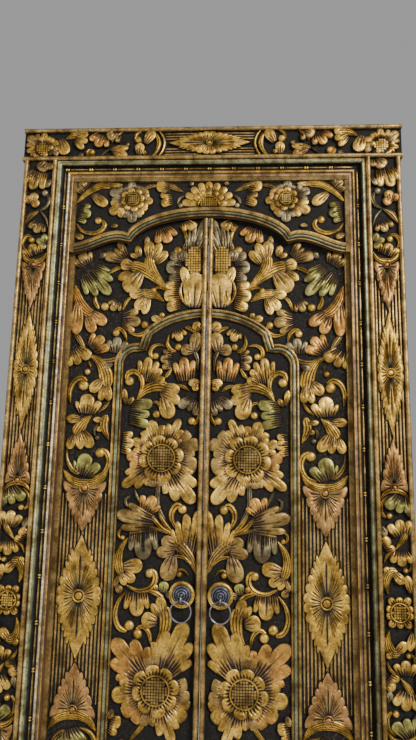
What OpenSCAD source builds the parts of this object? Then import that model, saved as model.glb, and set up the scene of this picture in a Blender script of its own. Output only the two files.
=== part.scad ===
// Carved and gilded double-leaf temple door in its frame.
// Front faces -Y, +Z is up. The origin is the middle of the footprint, on the floor.
// Lengths are in millimetres.

/* [Frame] */
// Width over the two side boards
door_w = 900; // [800:10:1100]
// Height from the floor to the top edge
door_h = 2200; // [1900:10:2700]
// Depth of the timber posts and beams behind the boards
post_d = 82; // [70:1:110]
// Width of the tenon on each end of a post
tenon_w = 44; // [36:1:52]
// Thickness of the tenon on each end of a post
tenon_t = 24; // [18:1:30]
// Length of the tenon on each end of a post
tenon_len = 58; // [40:1:64]
// Clearance all round a tenon in its mortise
tenon_gap = 0.3; // [0.1:0.1:0.8]
// Diameter of the pegs that lock the tenons
peg_d = 9; // [7:0.5:11]

/* [Border boards] */
// Width of the carved side boards
side_board_w = 80; // [74:1:96]
// Height of the carved top and bottom boards
end_board_h = 84; // [80:1:100]
// Thickness of the carved boards
board_t = 38; // [36:1:48]
// How far the top board stands out past the side boards
board_overhang = 6; // [0:1:10]
// Width of the rounded fillet along each board edge
fillet_w = 10; // [8:1:12]
// Depth of the carved ground below the fillets
ground_d = 11; // [6:1:14]

/* [Moulding] */
// Width of the stepped moulding inside the boards
mould_w = 38; // [34:1:44]

/* [Valance] */
// Thickness of the arched valance board
valance_t = 18; // [14:1:20]
// Depth of its carved ground
valance_ground_d = 8; // [4:1:9]
// Height of the valance at its middle, above the arch band
valance_crown = 75; // [60:1:90]
// Rise of the middle arch
valance_rise = 82; // [60:1:100]
// Half width at which the middle arch ends in a cusp
valance_cusp = 190; // [150:1:210]
// Height of the moulded band along the arch
arch_band = 23; // [16:1:28]

/* [Leaves] */
// Thickness of each leaf
leaf_t = 36; // [30:1:44]
// Gap between the two leaves when shut
meeting_gap = 3; // [2:0.5:5]
// Gap between a leaf and the back of the moulding
lip_gap = 1; // [0.5:0.1:2]
// Gap between the rounded hanging edge and the post
hang_gap = 1; // [0.5:0.1:2]
// Gap above and below each leaf
end_gap = 3; // [2:0.5:6]
// Depth of the carved ground of the leaves
leaf_ground_d = 9; // [6:1:12]
// Width of the edge strip round each leaf
edge_strip_w = 10; // [8:1:14]
// Half width of the inner arched panel, over its band
panel_half_w = 215; // [190:1:230]
// Width of the band round the inner panel
panel_band = 22; // [16:1:26]
// Height of the top of the inner arch above the leaf's middle
panel_top = 656; // [560:1:700]
// Width of the raised strip on each meeting edge
meeting_strip_w = 10; // [8:1:14]
// How far the meeting strip stands out from the leaf
meeting_strip_t = 7; // [5:1:9]
// Radius of the large carved flowers
flower_r = 86; // [60:1:92]
// Distance between the large flowers, up the leaf
flower_pitch = 484; // [400:1:520]

/* [Pivots] */
// Diameter of the pivot pins
pivot_d = 16; // [12:0.5:20]
// Radial clearance of a pin in its socket
pivot_clear = 0.05; // [0.02:0.01:0.1]
// Depth of a pin in the leaf
pivot_in_leaf = 46; // [36:1:70]
// Depth of a socket's bore
socket_depth = 28; // [20:1:34]
// Wall of a socket
socket_wall = 5; // [3:0.5:6]

/* [Handles] */
// Height of the handle plates above the leaf's middle
handle_up = 15; // [0:1:60]
// Distance from the middle of the door to a handle
handle_in = 42; // [40:1:60]
// Radius of the handle plate
plate_r = 28; // [24:1:29]
// Thickness of the plate's rim
plate_t = 2.5; // [2:0.1:4]
// Radius of the plate's dome
dome_r = 21; // [17:0.5:23]
// Height of the dome above the rim
dome_h = 9; // [6:0.5:11]
// Radius of the pull ring, to the middle of its wire
ring_r = 22; // [18:0.5:26]
// Thickness of the pull ring's wire
ring_wire = 3.2; // [2.4:0.1:4]
// Radius of the eye that holds the ring, to the middle of its wire
eye_r = 6; // [5:0.25:8]
// Thickness of the eye's wire
eye_wire = 4; // [3:0.1:4.6]
// How far the eye sits below the middle of the dome
eye_drop = 7; // [0:0.5:9]
// Diameter of the eye's shank
shank_d = 6; // [4:0.5:8]
// Radius of the washer on the back of the leaf
washer_r = 12; // [9:0.5:16]

/* [Hidden] */

// Colours
gold = "#b8923f";
ground_black = "#26262c";
moulding_green = "#5d6a4c";
bare_timber = "#5a3d25";
iron = "#4a4b4f";
brass = "#a98443";

// Small amounts
over = 1;               // how far a cutter runs past the face it opens
peg_gap = 0.05;         // radial clearance of a peg
fit_gap = 0.05;         // radial clearance of a part driven into timber
rest_gap = 0.3;         // clearance between a hung ring and its eye
pin_head_room = 2;      // free space above the upper pins
strip_end_gap = 2;      // clearance at the ends of the meeting strips

// Planes across the depth of the door
total_d = board_t + post_d;
front_y = -total_d / 2;
seat_y = front_y + board_t;
back_y = total_d / 2;
leaf_front_y = seat_y + lip_gap;
leaf_back_y = leaf_front_y + leaf_t;
leaf_ground_y = leaf_front_y + leaf_ground_d;

// Clear opening of the frame, and the opening seen inside the moulding
rebate_half = door_w / 2 - side_board_w;
rebate_low = end_board_h;
rebate_high = door_h - end_board_h;
sight_half = rebate_half - mould_w;
sight_low = rebate_low + mould_w;
sight_high = rebate_high - mould_w;

// Leaf and its pivot line
hang_r = leaf_t / 2;
pivot_x = -(rebate_half - hang_gap - hang_r);
pivot_y = leaf_front_y + hang_r;
leaf_low = rebate_low + end_gap;
leaf_high = rebate_high - end_gap;
leaf_edge_x = -meeting_gap / 2;
mid_z = door_h / 2;
pin_bottom_z = rebate_low - socket_depth;
socket_hole_h = socket_depth + socket_wall;
socket_r = pivot_d / 2 + pivot_clear + socket_wall;

// Valance curve: a middle arch between two cusps, then a wave down to the side
crown_z = sight_high - valance_crown;
valance_half_span = valance_cusp + 5;
wave_top_x = valance_cusp + 25;
wave_top_z = crown_z - valance_rise * 0.73;
wave_fall = valance_rise * 0.39;
cusp_step = 7;
curve_steps = 12;

// Inner arched panel
panel_top_z = mid_z + panel_top;
panel_low_z = sight_low + 66;
arch_a = panel_half_w - 55;
arch_b = 120;
shoulder_drop = 84;
shoulder_r = 50;

// Carved flowers and lozenges
flower_x = panel_half_w / 2 - 10;
flower_tier = [flower_r, flower_r * 0.6, flower_r * 0.34];
flower_low_z = sight_low + 66 + panel_band + flower_r + 140;
strip_x = (panel_half_w + sight_half - edge_strip_w) / 2;
lozenge_half_h = 132;
lozenge_half_w = (sight_half - edge_strip_w - panel_half_w) / 2 - 4;
board_lozenge_z = 500;
board_lozenge_h = 140;
board_lozenge_w = side_board_w / 2 - fillet_w - 3;

// Tenons, pegs and the handle's fixed places
tenon_y = (seat_y + back_y) / 2;
post_x = door_w / 2 - side_board_w / 2;
peg_z = tenon_len * 0.45;
peg_x = tenon_w / 4;
peg_len = post_d - 12;
handle_x = -handle_in;
handle_z = mid_z + handle_up;
eye_z = handle_z - eye_drop;
dome_sphere_r = (dome_r * dome_r + dome_h * dome_h) / (2 * dome_h);
dome_wall = 1.5;
dome_top_y = leaf_front_y - plate_t - dome_h;
eye_y = dome_top_y - eye_r - eye_wire / 2;
eye_hole_r = eye_r - eye_wire / 2;
ring_hang_z = eye_z - (eye_hole_r - ring_wire / 2 - rest_gap);
washer_t = 2.5;
rivet_t = 3;
rivet_r = 5;

// Extrudes a front view drawn in X and Z from the plane y_back forwards by depth.
module slab(y_back, depth) {
    translate([0, y_back, 0])
        rotate([90, 0, 0])
            linear_extrude(depth)
                children();
}

// Front-view rectangle from one corner to the other.
module span(x0, z0, x1, z1) {
    translate([x0, z0])
        square([x1 - x0, z1 - z0]);
}

// Repeats a part drawn on the left, mirrored to the right.
module right_hand() {
    mirror([1, 0, 0])
        children();
}

// Repeats a part drawn for the top, turned over to the bottom.
module turned_down() {
    translate([0, 0, door_h])
        mirror([0, 0, 1])
            children();
}

// ---- Timber frame ----

module tenon(end_z) {
    translate([-post_x - tenon_w / 2, tenon_y - tenon_t / 2, end_z])
        cube([tenon_w, tenon_t, tenon_len]);
}

module peg_holes_at(z, r) {
    for (sx = [-1, 1])
        translate([-post_x + sx * peg_x, back_y + over, z])
            rotate([90, 0, 0])
                cylinder(r = r, h = peg_len + over, $fn = 32);
}

module left_post() {
    color(bare_timber)
        difference() {
            union() {
                translate([-door_w / 2, seat_y, rebate_low])
                    cube([side_board_w, post_d, rebate_high - rebate_low]);
                tenon(rebate_high);
                tenon(rebate_low - tenon_len);
            }
            peg_holes_at(rebate_high + peg_z, peg_d / 2 + peg_gap);
            peg_holes_at(rebate_low - peg_z, peg_d / 2 + peg_gap);
        }
}

module right_post() {
    right_hand() left_post();
}

module mortise() {
    translate([
        -post_x - tenon_w / 2 - tenon_gap,
        tenon_y - tenon_t / 2 - tenon_gap,
        rebate_high - over
    ])
        cube([tenon_w + 2 * tenon_gap, tenon_t + 2 * tenon_gap, tenon_len + over + tenon_gap]);
}

module socket_hole() {
    translate([pivot_x, pivot_y, rebate_high - over])
        cylinder(r = socket_r + fit_gap, h = socket_hole_h + over, $fn = 48);
}

// The head beam, also turned over to make the sill.
module cross_beam() {
    difference() {
        translate([-door_w / 2, seat_y, rebate_high])
            cube([door_w, post_d, end_board_h]);
        mortise();
        right_hand() mortise();
        socket_hole();
        right_hand() socket_hole();
        peg_holes_at(rebate_high + peg_z, peg_d / 2 + peg_gap);
        right_hand() peg_holes_at(rebate_high + peg_z, peg_d / 2 + peg_gap);
    }
}

module head_beam() {
    color(bare_timber) cross_beam();
}

module sill_beam() {
    color(bare_timber) turned_down() cross_beam();
}

module peg_pair(z) {
    for (sx = [-1, 1])
        translate([-post_x + sx * peg_x, back_y, z])
            rotate([90, 0, 0])
                cylinder(r = peg_d / 2, h = peg_len - over, $fn = 32);
}

module frame_pegs() {
    color(bare_timber)
        for (z = [rebate_high + peg_z, rebate_low - peg_z]) {
            peg_pair(z);
            right_hand() peg_pair(z);
        }
}

// ---- Carved border boards ----

// A board along +X from the origin, its width up +Z, with a rounded fillet on each edge.
module fillet(length, z) {
    bead_r = fillet_w / 2;
    translate([0, front_y + bead_r, z])
        cube([length, board_t - bead_r, fillet_w]);
    translate([0, front_y + bead_r, z + bead_r])
        rotate([0, 90, 0])
            cylinder(r = bead_r, h = length, $fn = 24);
}

module plain_board(length, width) {
    translate([0, front_y + ground_d, 0])
        cube([length, board_t - ground_d, width]);
    fillet(length, 0);
    fillet(length, width - fillet_w);
}

module lozenge_2d(half_w, half_h) {
    polygon([[-half_w, 0], [0, -half_h], [half_w, 0], [0, half_h]]);
}

module top_board() {
    half_len = door_w / 2 + board_overhang;
    color(gold)
        union() {
            translate([-half_len, 0, rebate_high])
                plain_board(2 * half_len, end_board_h);
            slab(front_y + ground_d + over, ground_d - 1)
                translate([0, rebate_high + end_board_h / 2])
                    lozenge_2d(100, end_board_h / 2 - fillet_w - 3);
        }
}

module bottom_board() {
    turned_down() top_board();
}

module left_board() {
    color(gold)
        union() {
            translate([-rebate_half, 0, rebate_low])
                rotate([0, -90, 0])
                    plain_board(rebate_high - rebate_low, side_board_w);
            slab(front_y + ground_d + over, ground_d - 1)
                for (dz = [-board_lozenge_z, board_lozenge_z])
                    translate([-post_x, mid_z + dz])
                        lozenge_2d(board_lozenge_w, board_lozenge_h);
            slab(front_y + ground_d + over, ground_d - 2)
                translate([-post_x, mid_z])
                    circle(r = board_lozenge_w, $fn = 48);
        }
}

module right_board() {
    right_hand() left_board();
}

// ---- Stepped moulding, mitred at the corners ----

// Step widths across the moulding, from the boards to the opening, and how deep each face lies.
bead_big_r = 6.5;
bead_big_w = 14;
cove_w = 11;
bead_small_w = 6;
cove_front = front_y + 17;
bead_small_front = front_y + 16;
lip_front = front_y + 18;
rod_r = 3.5;

module moulding_bar(length) {
    translate([0, front_y + bead_big_r + 2, 0])
        cube([length, board_t - bead_big_r - 2, bead_big_w]);
    translate([0, front_y + bead_big_r + 2, bead_big_w / 2])
        rotate([0, 90, 0])
            cylinder(r = bead_big_r, h = length, $fn = 32);
    translate([0, cove_front, 0])
        cube([length, seat_y - cove_front, bead_big_w + cove_w + over]);
    translate([0, cove_front, bead_big_w + cove_w / 2])
        rotate([0, 90, 0])
            cylinder(r = rod_r, h = length, $fn = 24);
    translate([0, bead_small_front, bead_big_w + cove_w])
        cube([length, seat_y - bead_small_front, bead_small_w]);
    translate([0, bead_small_front, bead_big_w + cove_w + bead_small_w / 2])
        rotate([0, 90, 0])
            cylinder(r = bead_small_w / 2, h = length, $fn = 24);
    translate([0, lip_front, 0])
        cube([length, seat_y - lip_front, mould_w]);
}

module top_moulding() {
    color(moulding_green)
        intersection() {
            translate([-rebate_half, 0, rebate_high])
                mirror([0, 0, 1])
                    moulding_bar(2 * rebate_half);
            slab(seat_y + over, board_t + 2 * over)
                polygon([
                    [-rebate_half, rebate_high],
                    [rebate_half, rebate_high],
                    [sight_half, sight_high],
                    [-sight_half, sight_high]
                ]);
        }
}

module bottom_moulding() {
    turned_down() top_moulding();
}

module left_moulding() {
    color(moulding_green)
        intersection() {
            translate([-rebate_half, 0, rebate_low])
                mirror([1, 0, 0])
                    rotate([0, -90, 0])
                        moulding_bar(rebate_high - rebate_low);
            slab(seat_y + over, board_t + 2 * over)
                polygon([
                    [-rebate_half, rebate_low],
                    [-rebate_half, rebate_high],
                    [-sight_half, sight_high],
                    [-sight_half, sight_low]
                ]);
        }
}

module right_moulding() {
    right_hand() left_moulding();
}

// ---- Arched valance ----

// Height of the top line of the arch band at a distance x from the middle.
function arch_z(x) = crown_z - valance_rise + valance_rise * sqrt(1 - pow(x / valance_half_span, 2));
function wave_rise_z(x) = wave_top_z - cusp_step * pow((wave_top_x - x) / (wave_top_x - valance_cusp), 2);
function wave_fall_z(x) =
    wave_top_z - wave_fall * (1 - cos(180 * (x - wave_top_x) / (sight_half - wave_top_x))) / 2;
function valance_z(x) =
    abs(x) < valance_cusp ? arch_z(abs(x)) : abs(x) < wave_top_x ? wave_rise_z(abs(x)) : wave_fall_z(abs(x));

// Distances along the half curve, closer together where it bends most.
half_xs = concat(
    [for (i = [0:curve_steps]) valance_cusp * sin(90 * i / curve_steps)],
    [for (i = [1:3]) valance_cusp + (wave_top_x - valance_cusp) * i / 3],
    [for (i = [1:curve_steps - 2]) wave_top_x + (sight_half - wave_top_x) * i / (curve_steps - 2)]
);
half_count = len(half_xs);
curve_xs = concat([for (i = [half_count - 1:-1:1]) -half_xs[i]], half_xs);

module valance_outline(drop, half_w, top_z) {
    polygon(concat(
        [for (x = curve_xs) if (abs(x) <= half_w) [x, valance_z(x) - drop]],
        [[half_w, valance_z(half_w) - drop], [half_w, top_z], [-half_w, top_z]],
        [[-half_w, valance_z(half_w) - drop]]
    ));
}

module arched_valance() {
    color(gold)
        difference() {
            slab(seat_y, valance_t)
                valance_outline(arch_band, sight_half, sight_high);
            slab(seat_y - valance_t + valance_ground_d, valance_ground_d + over)
                valance_outline(0, sight_half - edge_strip_w, sight_high - edge_strip_w);
        }
}

// ---- Leaves ----

// Front view of the inner panel, drawn in by inset: a round arch on a shouldered rectangle.
module panel_2d(inset) {
    arch_steps = 24;
    arch_z0 = panel_top_z - arch_b;
    half_w = panel_half_w - inset;
    shoulder_z = panel_top_z - shoulder_drop - inset;
    corner_r = shoulder_r - inset;
    low_z = panel_low_z + inset;
    polygon([
        for (i = [0:arch_steps])
            let (a = 180 * i / arch_steps)
                [(arch_a - inset) * cos(a), arch_z0 + (arch_b - inset) * sin(a)]
    ]);
    span(-half_w, low_z, half_w, shoulder_z - corner_r);
    span(-half_w + corner_r, shoulder_z - corner_r, half_w - corner_r, shoulder_z);
    for (sx = [-1, 1])
        translate([sx * (half_w - corner_r), shoulder_z - corner_r])
            circle(r = corner_r, $fn = 48);
}

module leaf_ground_2d() {
    difference() {
        span(-sight_half + edge_strip_w, sight_low + edge_strip_w,
            leaf_edge_x - meeting_strip_w, sight_high - edge_strip_w);
        difference() {
            panel_2d(0);
            panel_2d(panel_band);
        }
    }
}

module flower_boss(z) {
    for (tier = [0:2])
        translate([-flower_x, leaf_ground_y + over, z])
            rotate([90, 0, 0])
                cylinder(r = flower_tier[tier], h = over + leaf_ground_d * (tier + 1) / 3, $fn = 64);
}

module leaf_blank() {
    translate([pivot_x, leaf_front_y, leaf_low])
        cube([leaf_edge_x - pivot_x, leaf_t, leaf_high - leaf_low]);
    translate([pivot_x, pivot_y, leaf_low])
        cylinder(r = hang_r, h = leaf_high - leaf_low, $fn = 64);
}

module pivot_holes() {
    for (z = [leaf_low - over, leaf_high - pivot_in_leaf])
        translate([pivot_x, pivot_y, z])
            cylinder(r = pivot_d / 2 + fit_gap, h = pivot_in_leaf + over, $fn = 48);
}

module leaf() {
    difference() {
        union() {
            difference() {
                leaf_blank();
                slab(leaf_ground_y, leaf_ground_d + over)
                    leaf_ground_2d();
            }
            for (i = [0:2])
                flower_boss(flower_low_z + i * flower_pitch);
            slab(leaf_ground_y + over, over + leaf_ground_d - 1)
                translate([-strip_x, mid_z])
                    lozenge_2d(lozenge_half_w, lozenge_half_h);
            translate([handle_x, leaf_ground_y + over, handle_z])
                rotate([90, 0, 0])
                    cylinder(r = plate_r + 1, h = leaf_ground_d + over, $fn = 64);
        }
        pivot_holes();
        translate([handle_x, leaf_back_y + over, eye_z])
            rotate([90, 0, 0])
                cylinder(r = shank_d / 2 + fit_gap, h = leaf_t + 2 * over, $fn = 32);
    }
}

module left_leaf() {
    color(ground_black) leaf();
}

module right_leaf() {
    color(ground_black) right_hand() leaf();
}

module left_meeting_strip() {
    bead_r = meeting_strip_w / 2;
    low_z = sight_low + strip_end_gap;
    high_z = valance_z(0) - arch_band - strip_end_gap;
    flat_t = meeting_strip_t - 3;
    color(gold)
        intersection() {
            translate([leaf_edge_x - meeting_strip_w, leaf_front_y - meeting_strip_t, low_z])
                cube([meeting_strip_w, meeting_strip_t, high_z - low_z]);
            union() {
                translate([leaf_edge_x - meeting_strip_w, leaf_front_y - flat_t, low_z])
                    cube([meeting_strip_w, flat_t, high_z - low_z]);
                translate([leaf_edge_x - bead_r, leaf_front_y - meeting_strip_t + bead_r, low_z])
                    cylinder(r = bead_r, h = high_z - low_z, $fn = 32);
            }
        }
}

module right_meeting_strip() {
    right_hand() left_meeting_strip();
}

// ---- Pivots ----

module pivot_pin(z0, z1) {
    translate([pivot_x, pivot_y, z0])
        cylinder(r = pivot_d / 2, h = z1 - z0, $fn = 48);
}

module left_top_pivot() {
    color(iron)
        pivot_pin(leaf_high - pivot_in_leaf, rebate_high + socket_depth - pin_head_room);
}

module left_bottom_pivot() {
    color(iron)
        pivot_pin(pin_bottom_z, leaf_low + pivot_in_leaf - over);
}

module right_top_pivot() {
    right_hand() left_top_pivot();
}

module right_bottom_pivot() {
    right_hand() left_bottom_pivot();
}

// A cup let into the beam, its mouth flush with the beam's face.
module left_top_socket() {
    color(brass)
        translate([pivot_x, pivot_y, rebate_high])
            difference() {
                cylinder(r = socket_r, h = socket_hole_h, $fn = 48);
                translate([0, 0, -over])
                    cylinder(r = pivot_d / 2 + pivot_clear, h = socket_depth + over, $fn = 48);
            }
}

module left_bottom_socket() {
    turned_down() left_top_socket();
}

module right_top_socket() {
    right_hand() left_top_socket();
}

module right_bottom_socket() {
    right_hand() left_bottom_socket();
}

// ---- Handles ----

// A flat rim with a hollow domed middle, pierced for the shank of the eye.
module left_handle_plate() {
    dome_z = dome_sphere_r - dome_h;
    color(brass)
        translate([handle_x, leaf_front_y, handle_z])
            rotate([90, 0, 0])
                difference() {
                    union() {
                        cylinder(r = plate_r, h = plate_t, $fn = 64);
                        intersection() {
                            translate([0, 0, plate_t - dome_z])
                                sphere(r = dome_sphere_r, $fn = 64);
                            cylinder(r = dome_r, h = plate_t + dome_h + over, $fn = 64);
                        }
                    }
                    intersection() {
                        translate([0, 0, plate_t - dome_z])
                            sphere(r = dome_sphere_r - dome_wall, $fn = 64);
                        translate([0, 0, -over])
                            cylinder(r = dome_r, h = plate_t + dome_h + 2 * over, $fn = 64);
                    }
                    translate([0, -eye_drop, -over])
                        cylinder(r = shank_d / 2 + fit_gap, h = plate_t + dome_h + 2 * over, $fn = 32);
                }
}

module right_handle_plate() {
    right_hand() left_handle_plate();
}

module torus(r, wire) {
    rotate_extrude($fn = 64)
        translate([r, 0])
            circle(r = wire / 2, $fn = 24);
}

// The eye, its shank through plate and leaf, and the riveted end behind the washer.
module left_ring_eye() {
    shank_y0 = eye_y + eye_r;
    shank_y1 = leaf_back_y + washer_t;
    color(iron)
        translate([handle_x, 0, eye_z])
            union() {
                translate([0, eye_y, 0])
                    rotate([0, 90, 0])
                        torus(eye_r, eye_wire);
                translate([0, shank_y1, 0])
                    rotate([90, 0, 0])
                        cylinder(r = shank_d / 2, h = shank_y1 - shank_y0, $fn = 32);
                translate([0, shank_y1 + rivet_t, 0])
                    rotate([90, 0, 0])
                        cylinder(r = rivet_r, h = rivet_t, $fn = 32);
            }
}

module right_ring_eye() {
    right_hand() left_ring_eye();
}

module left_eye_washer() {
    color(iron)
        translate([handle_x, leaf_back_y + washer_t, eye_z])
            rotate([90, 0, 0])
                difference() {
                    cylinder(r = washer_r, h = washer_t, $fn = 48);
                    translate([0, 0, -over])
                        cylinder(r = shank_d / 2 + fit_gap, h = washer_t + 2 * over, $fn = 32);
                }
}

module right_eye_washer() {
    right_hand() left_eye_washer();
}

module left_pull_ring() {
    color(iron)
        translate([handle_x, eye_y, ring_hang_z - ring_r])
            rotate([90, 0, 0])
                torus(ring_r, ring_wire);
}

module right_pull_ring() {
    right_hand() left_pull_ring();
}

left_post();
right_post();
head_beam();
sill_beam();
frame_pegs();
top_board();
bottom_board();
left_board();
right_board();
top_moulding();
bottom_moulding();
left_moulding();
right_moulding();
arched_valance();
left_leaf();
right_leaf();
left_meeting_strip();
right_meeting_strip();
left_top_pivot();
left_bottom_pivot();
right_top_pivot();
right_bottom_pivot();
left_top_socket();
left_bottom_socket();
right_top_socket();
right_bottom_socket();
left_handle_plate();
right_handle_plate();
left_ring_eye();
right_ring_eye();
left_pull_ring();
right_pull_ring();
left_eye_washer();
right_eye_washer();
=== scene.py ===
# %% [markdown]
# # A carved and gilded temple door
#
# The CAD model gives the door's sizes: frame, leaves, pivots and ring pulls. This lesson adds
# what a carver and a gilder add: leaves, scrolls, flowers and lozenges cut in relief, the
# painted mouldings, and worn gold over a black ground. All of it sits in the CAD model's own
# frame, in metres, with the front of the door facing -Y.

# %% Load the fixed frame
import math

import bmesh
import bpy
import numpy as np
from mathutils import Matrix, Vector


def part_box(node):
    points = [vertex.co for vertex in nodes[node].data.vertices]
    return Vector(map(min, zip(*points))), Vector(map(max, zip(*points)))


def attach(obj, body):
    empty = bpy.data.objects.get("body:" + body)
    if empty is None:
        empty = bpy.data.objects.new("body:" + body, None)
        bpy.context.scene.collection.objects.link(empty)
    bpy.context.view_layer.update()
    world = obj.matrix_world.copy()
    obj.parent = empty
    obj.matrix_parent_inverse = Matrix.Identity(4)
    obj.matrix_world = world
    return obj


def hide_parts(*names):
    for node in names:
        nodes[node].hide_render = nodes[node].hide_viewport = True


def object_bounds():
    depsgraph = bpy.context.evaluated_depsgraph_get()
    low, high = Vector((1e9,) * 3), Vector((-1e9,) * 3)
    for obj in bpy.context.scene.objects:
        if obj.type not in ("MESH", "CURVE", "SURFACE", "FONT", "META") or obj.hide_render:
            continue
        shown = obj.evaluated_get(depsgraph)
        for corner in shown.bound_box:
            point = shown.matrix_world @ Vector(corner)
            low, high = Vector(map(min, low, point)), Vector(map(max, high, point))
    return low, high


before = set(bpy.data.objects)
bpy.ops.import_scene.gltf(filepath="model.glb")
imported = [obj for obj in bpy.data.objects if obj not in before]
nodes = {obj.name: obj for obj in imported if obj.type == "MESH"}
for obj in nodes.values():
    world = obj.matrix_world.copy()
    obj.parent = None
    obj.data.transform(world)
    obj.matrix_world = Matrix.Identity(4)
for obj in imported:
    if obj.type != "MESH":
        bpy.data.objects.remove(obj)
cad_low, cad_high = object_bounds()
print("CAD box", [round(v, 3) for v in (*cad_low, *cad_high)], "nodes", len(nodes))

# %% [markdown]
# ## Planes and edges of the door
#
# Relief is cut back from the face of a board to a flat ground, so each board needs two planes:
# its ground, and the face that the highest crests reach. They come from the CAD boxes, so a
# thicker leaf or a wider door moves the carving with it. Lengths inside this script are in
# millimetres and are turned into metres when a mesh is made.

# %% Read the planes from the CAD model
MM = 0.001


def box_mm(node):
    """Lowest and highest corner of a CAD node, in millimetres."""
    low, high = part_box(node)
    return np.array(low) / MM, np.array(high) / MM


leaf_low, leaf_high = box_mm("left_leaf")
valance_low, valance_high = box_mm("arched_valance")
top_low, top_high = box_mm("top_board")
side_low, side_high = box_mm("left_board")
moulding_low, moulding_high = box_mm("left_moulding")
door_height = top_high[2]
door_middle = door_height / 2

LEAF_RELIEF = 9.0
BOARD_RELIEF = 11.0
VALANCE_RELIEF = 8.0
FILLET = 10.0
leaf_ground = leaf_low[1] + LEAF_RELIEF
board_ground = side_low[1] + BOARD_RELIEF
valance_ground = valance_low[1] + VALANCE_RELIEF
sight_half = valance_high[0]
rebate_half = side_high[0] * -1
print("leaf ground", leaf_ground, "board ground", board_ground, "opening", 2 * sight_half)

# %% [markdown]
# ## Paints and gold
#
# The gilder laid gold leaf of one kind, but age has turned it: some motifs are bright, some brown
# or orange, and some were glazed green or grey. A texture would have to be painted and unwrapped
# for every board. Instead each motif carries its own colour as a mesh attribute called paint. A
# second attribute, gilt, says how much of the gold shows: 1 on a crest, 0 down in a groove, where
# the black ground shows. It also falls to 0 down the walls of each motif. It holds painted shade
# as well: near the base of a petal or a fan it thins, and on petals and leaves the paint there
# turns to umber, the same painted shade.

# %% Name the paints
PAINTS = {
    "gold": (0.64, 0.405, 0.08),
    "bright": (0.88, 0.58, 0.13),
    "brown": (0.40, 0.265, 0.085),
    "orange": (0.62, 0.325, 0.075),
    "green": (0.36, 0.345, 0.10),
    "stone": (0.29, 0.245, 0.14),
    "pale": (0.46, 0.31, 0.115),
    "cream_highlight": (0.92, 0.80, 0.48),
    "lime_highlight": (0.78, 0.76, 0.42),
    "glaze": (0.27, 0.28, 0.16),
    "verdigris": (0.10, 0.13, 0.085),
    "rust": (0.47, 0.26, 0.095),
    "umber_shade": (0.20, 0.125, 0.09),
    "plum": (0.27, 0.17, 0.14),
    "teal": (0.10, 0.145, 0.15),
    "black": (0.010, 0.009, 0.008),
}
print("paints", ", ".join(PAINTS))

# %% [markdown]
# ## The carver's bench
#
# Every motif is a closed shell that stands on the board and is sunk a little into it, as if the
# board had been cut away round it. A shell is a grid of points: its top is the grid, a skirt
# runs from the edge down below the ground, and a flat face closes it. Grids are quick to make
# with numpy, they keep crisp outlines, and one board's shells join into one mesh.

# %% Collect shells into one board
SINK = 1.5  # how far a shell goes into the board below it
TIMBER_DEPTH = 4.0  # faces this far behind the ground are bare timber
SHARP_ANGLE = math.radians(42)


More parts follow.
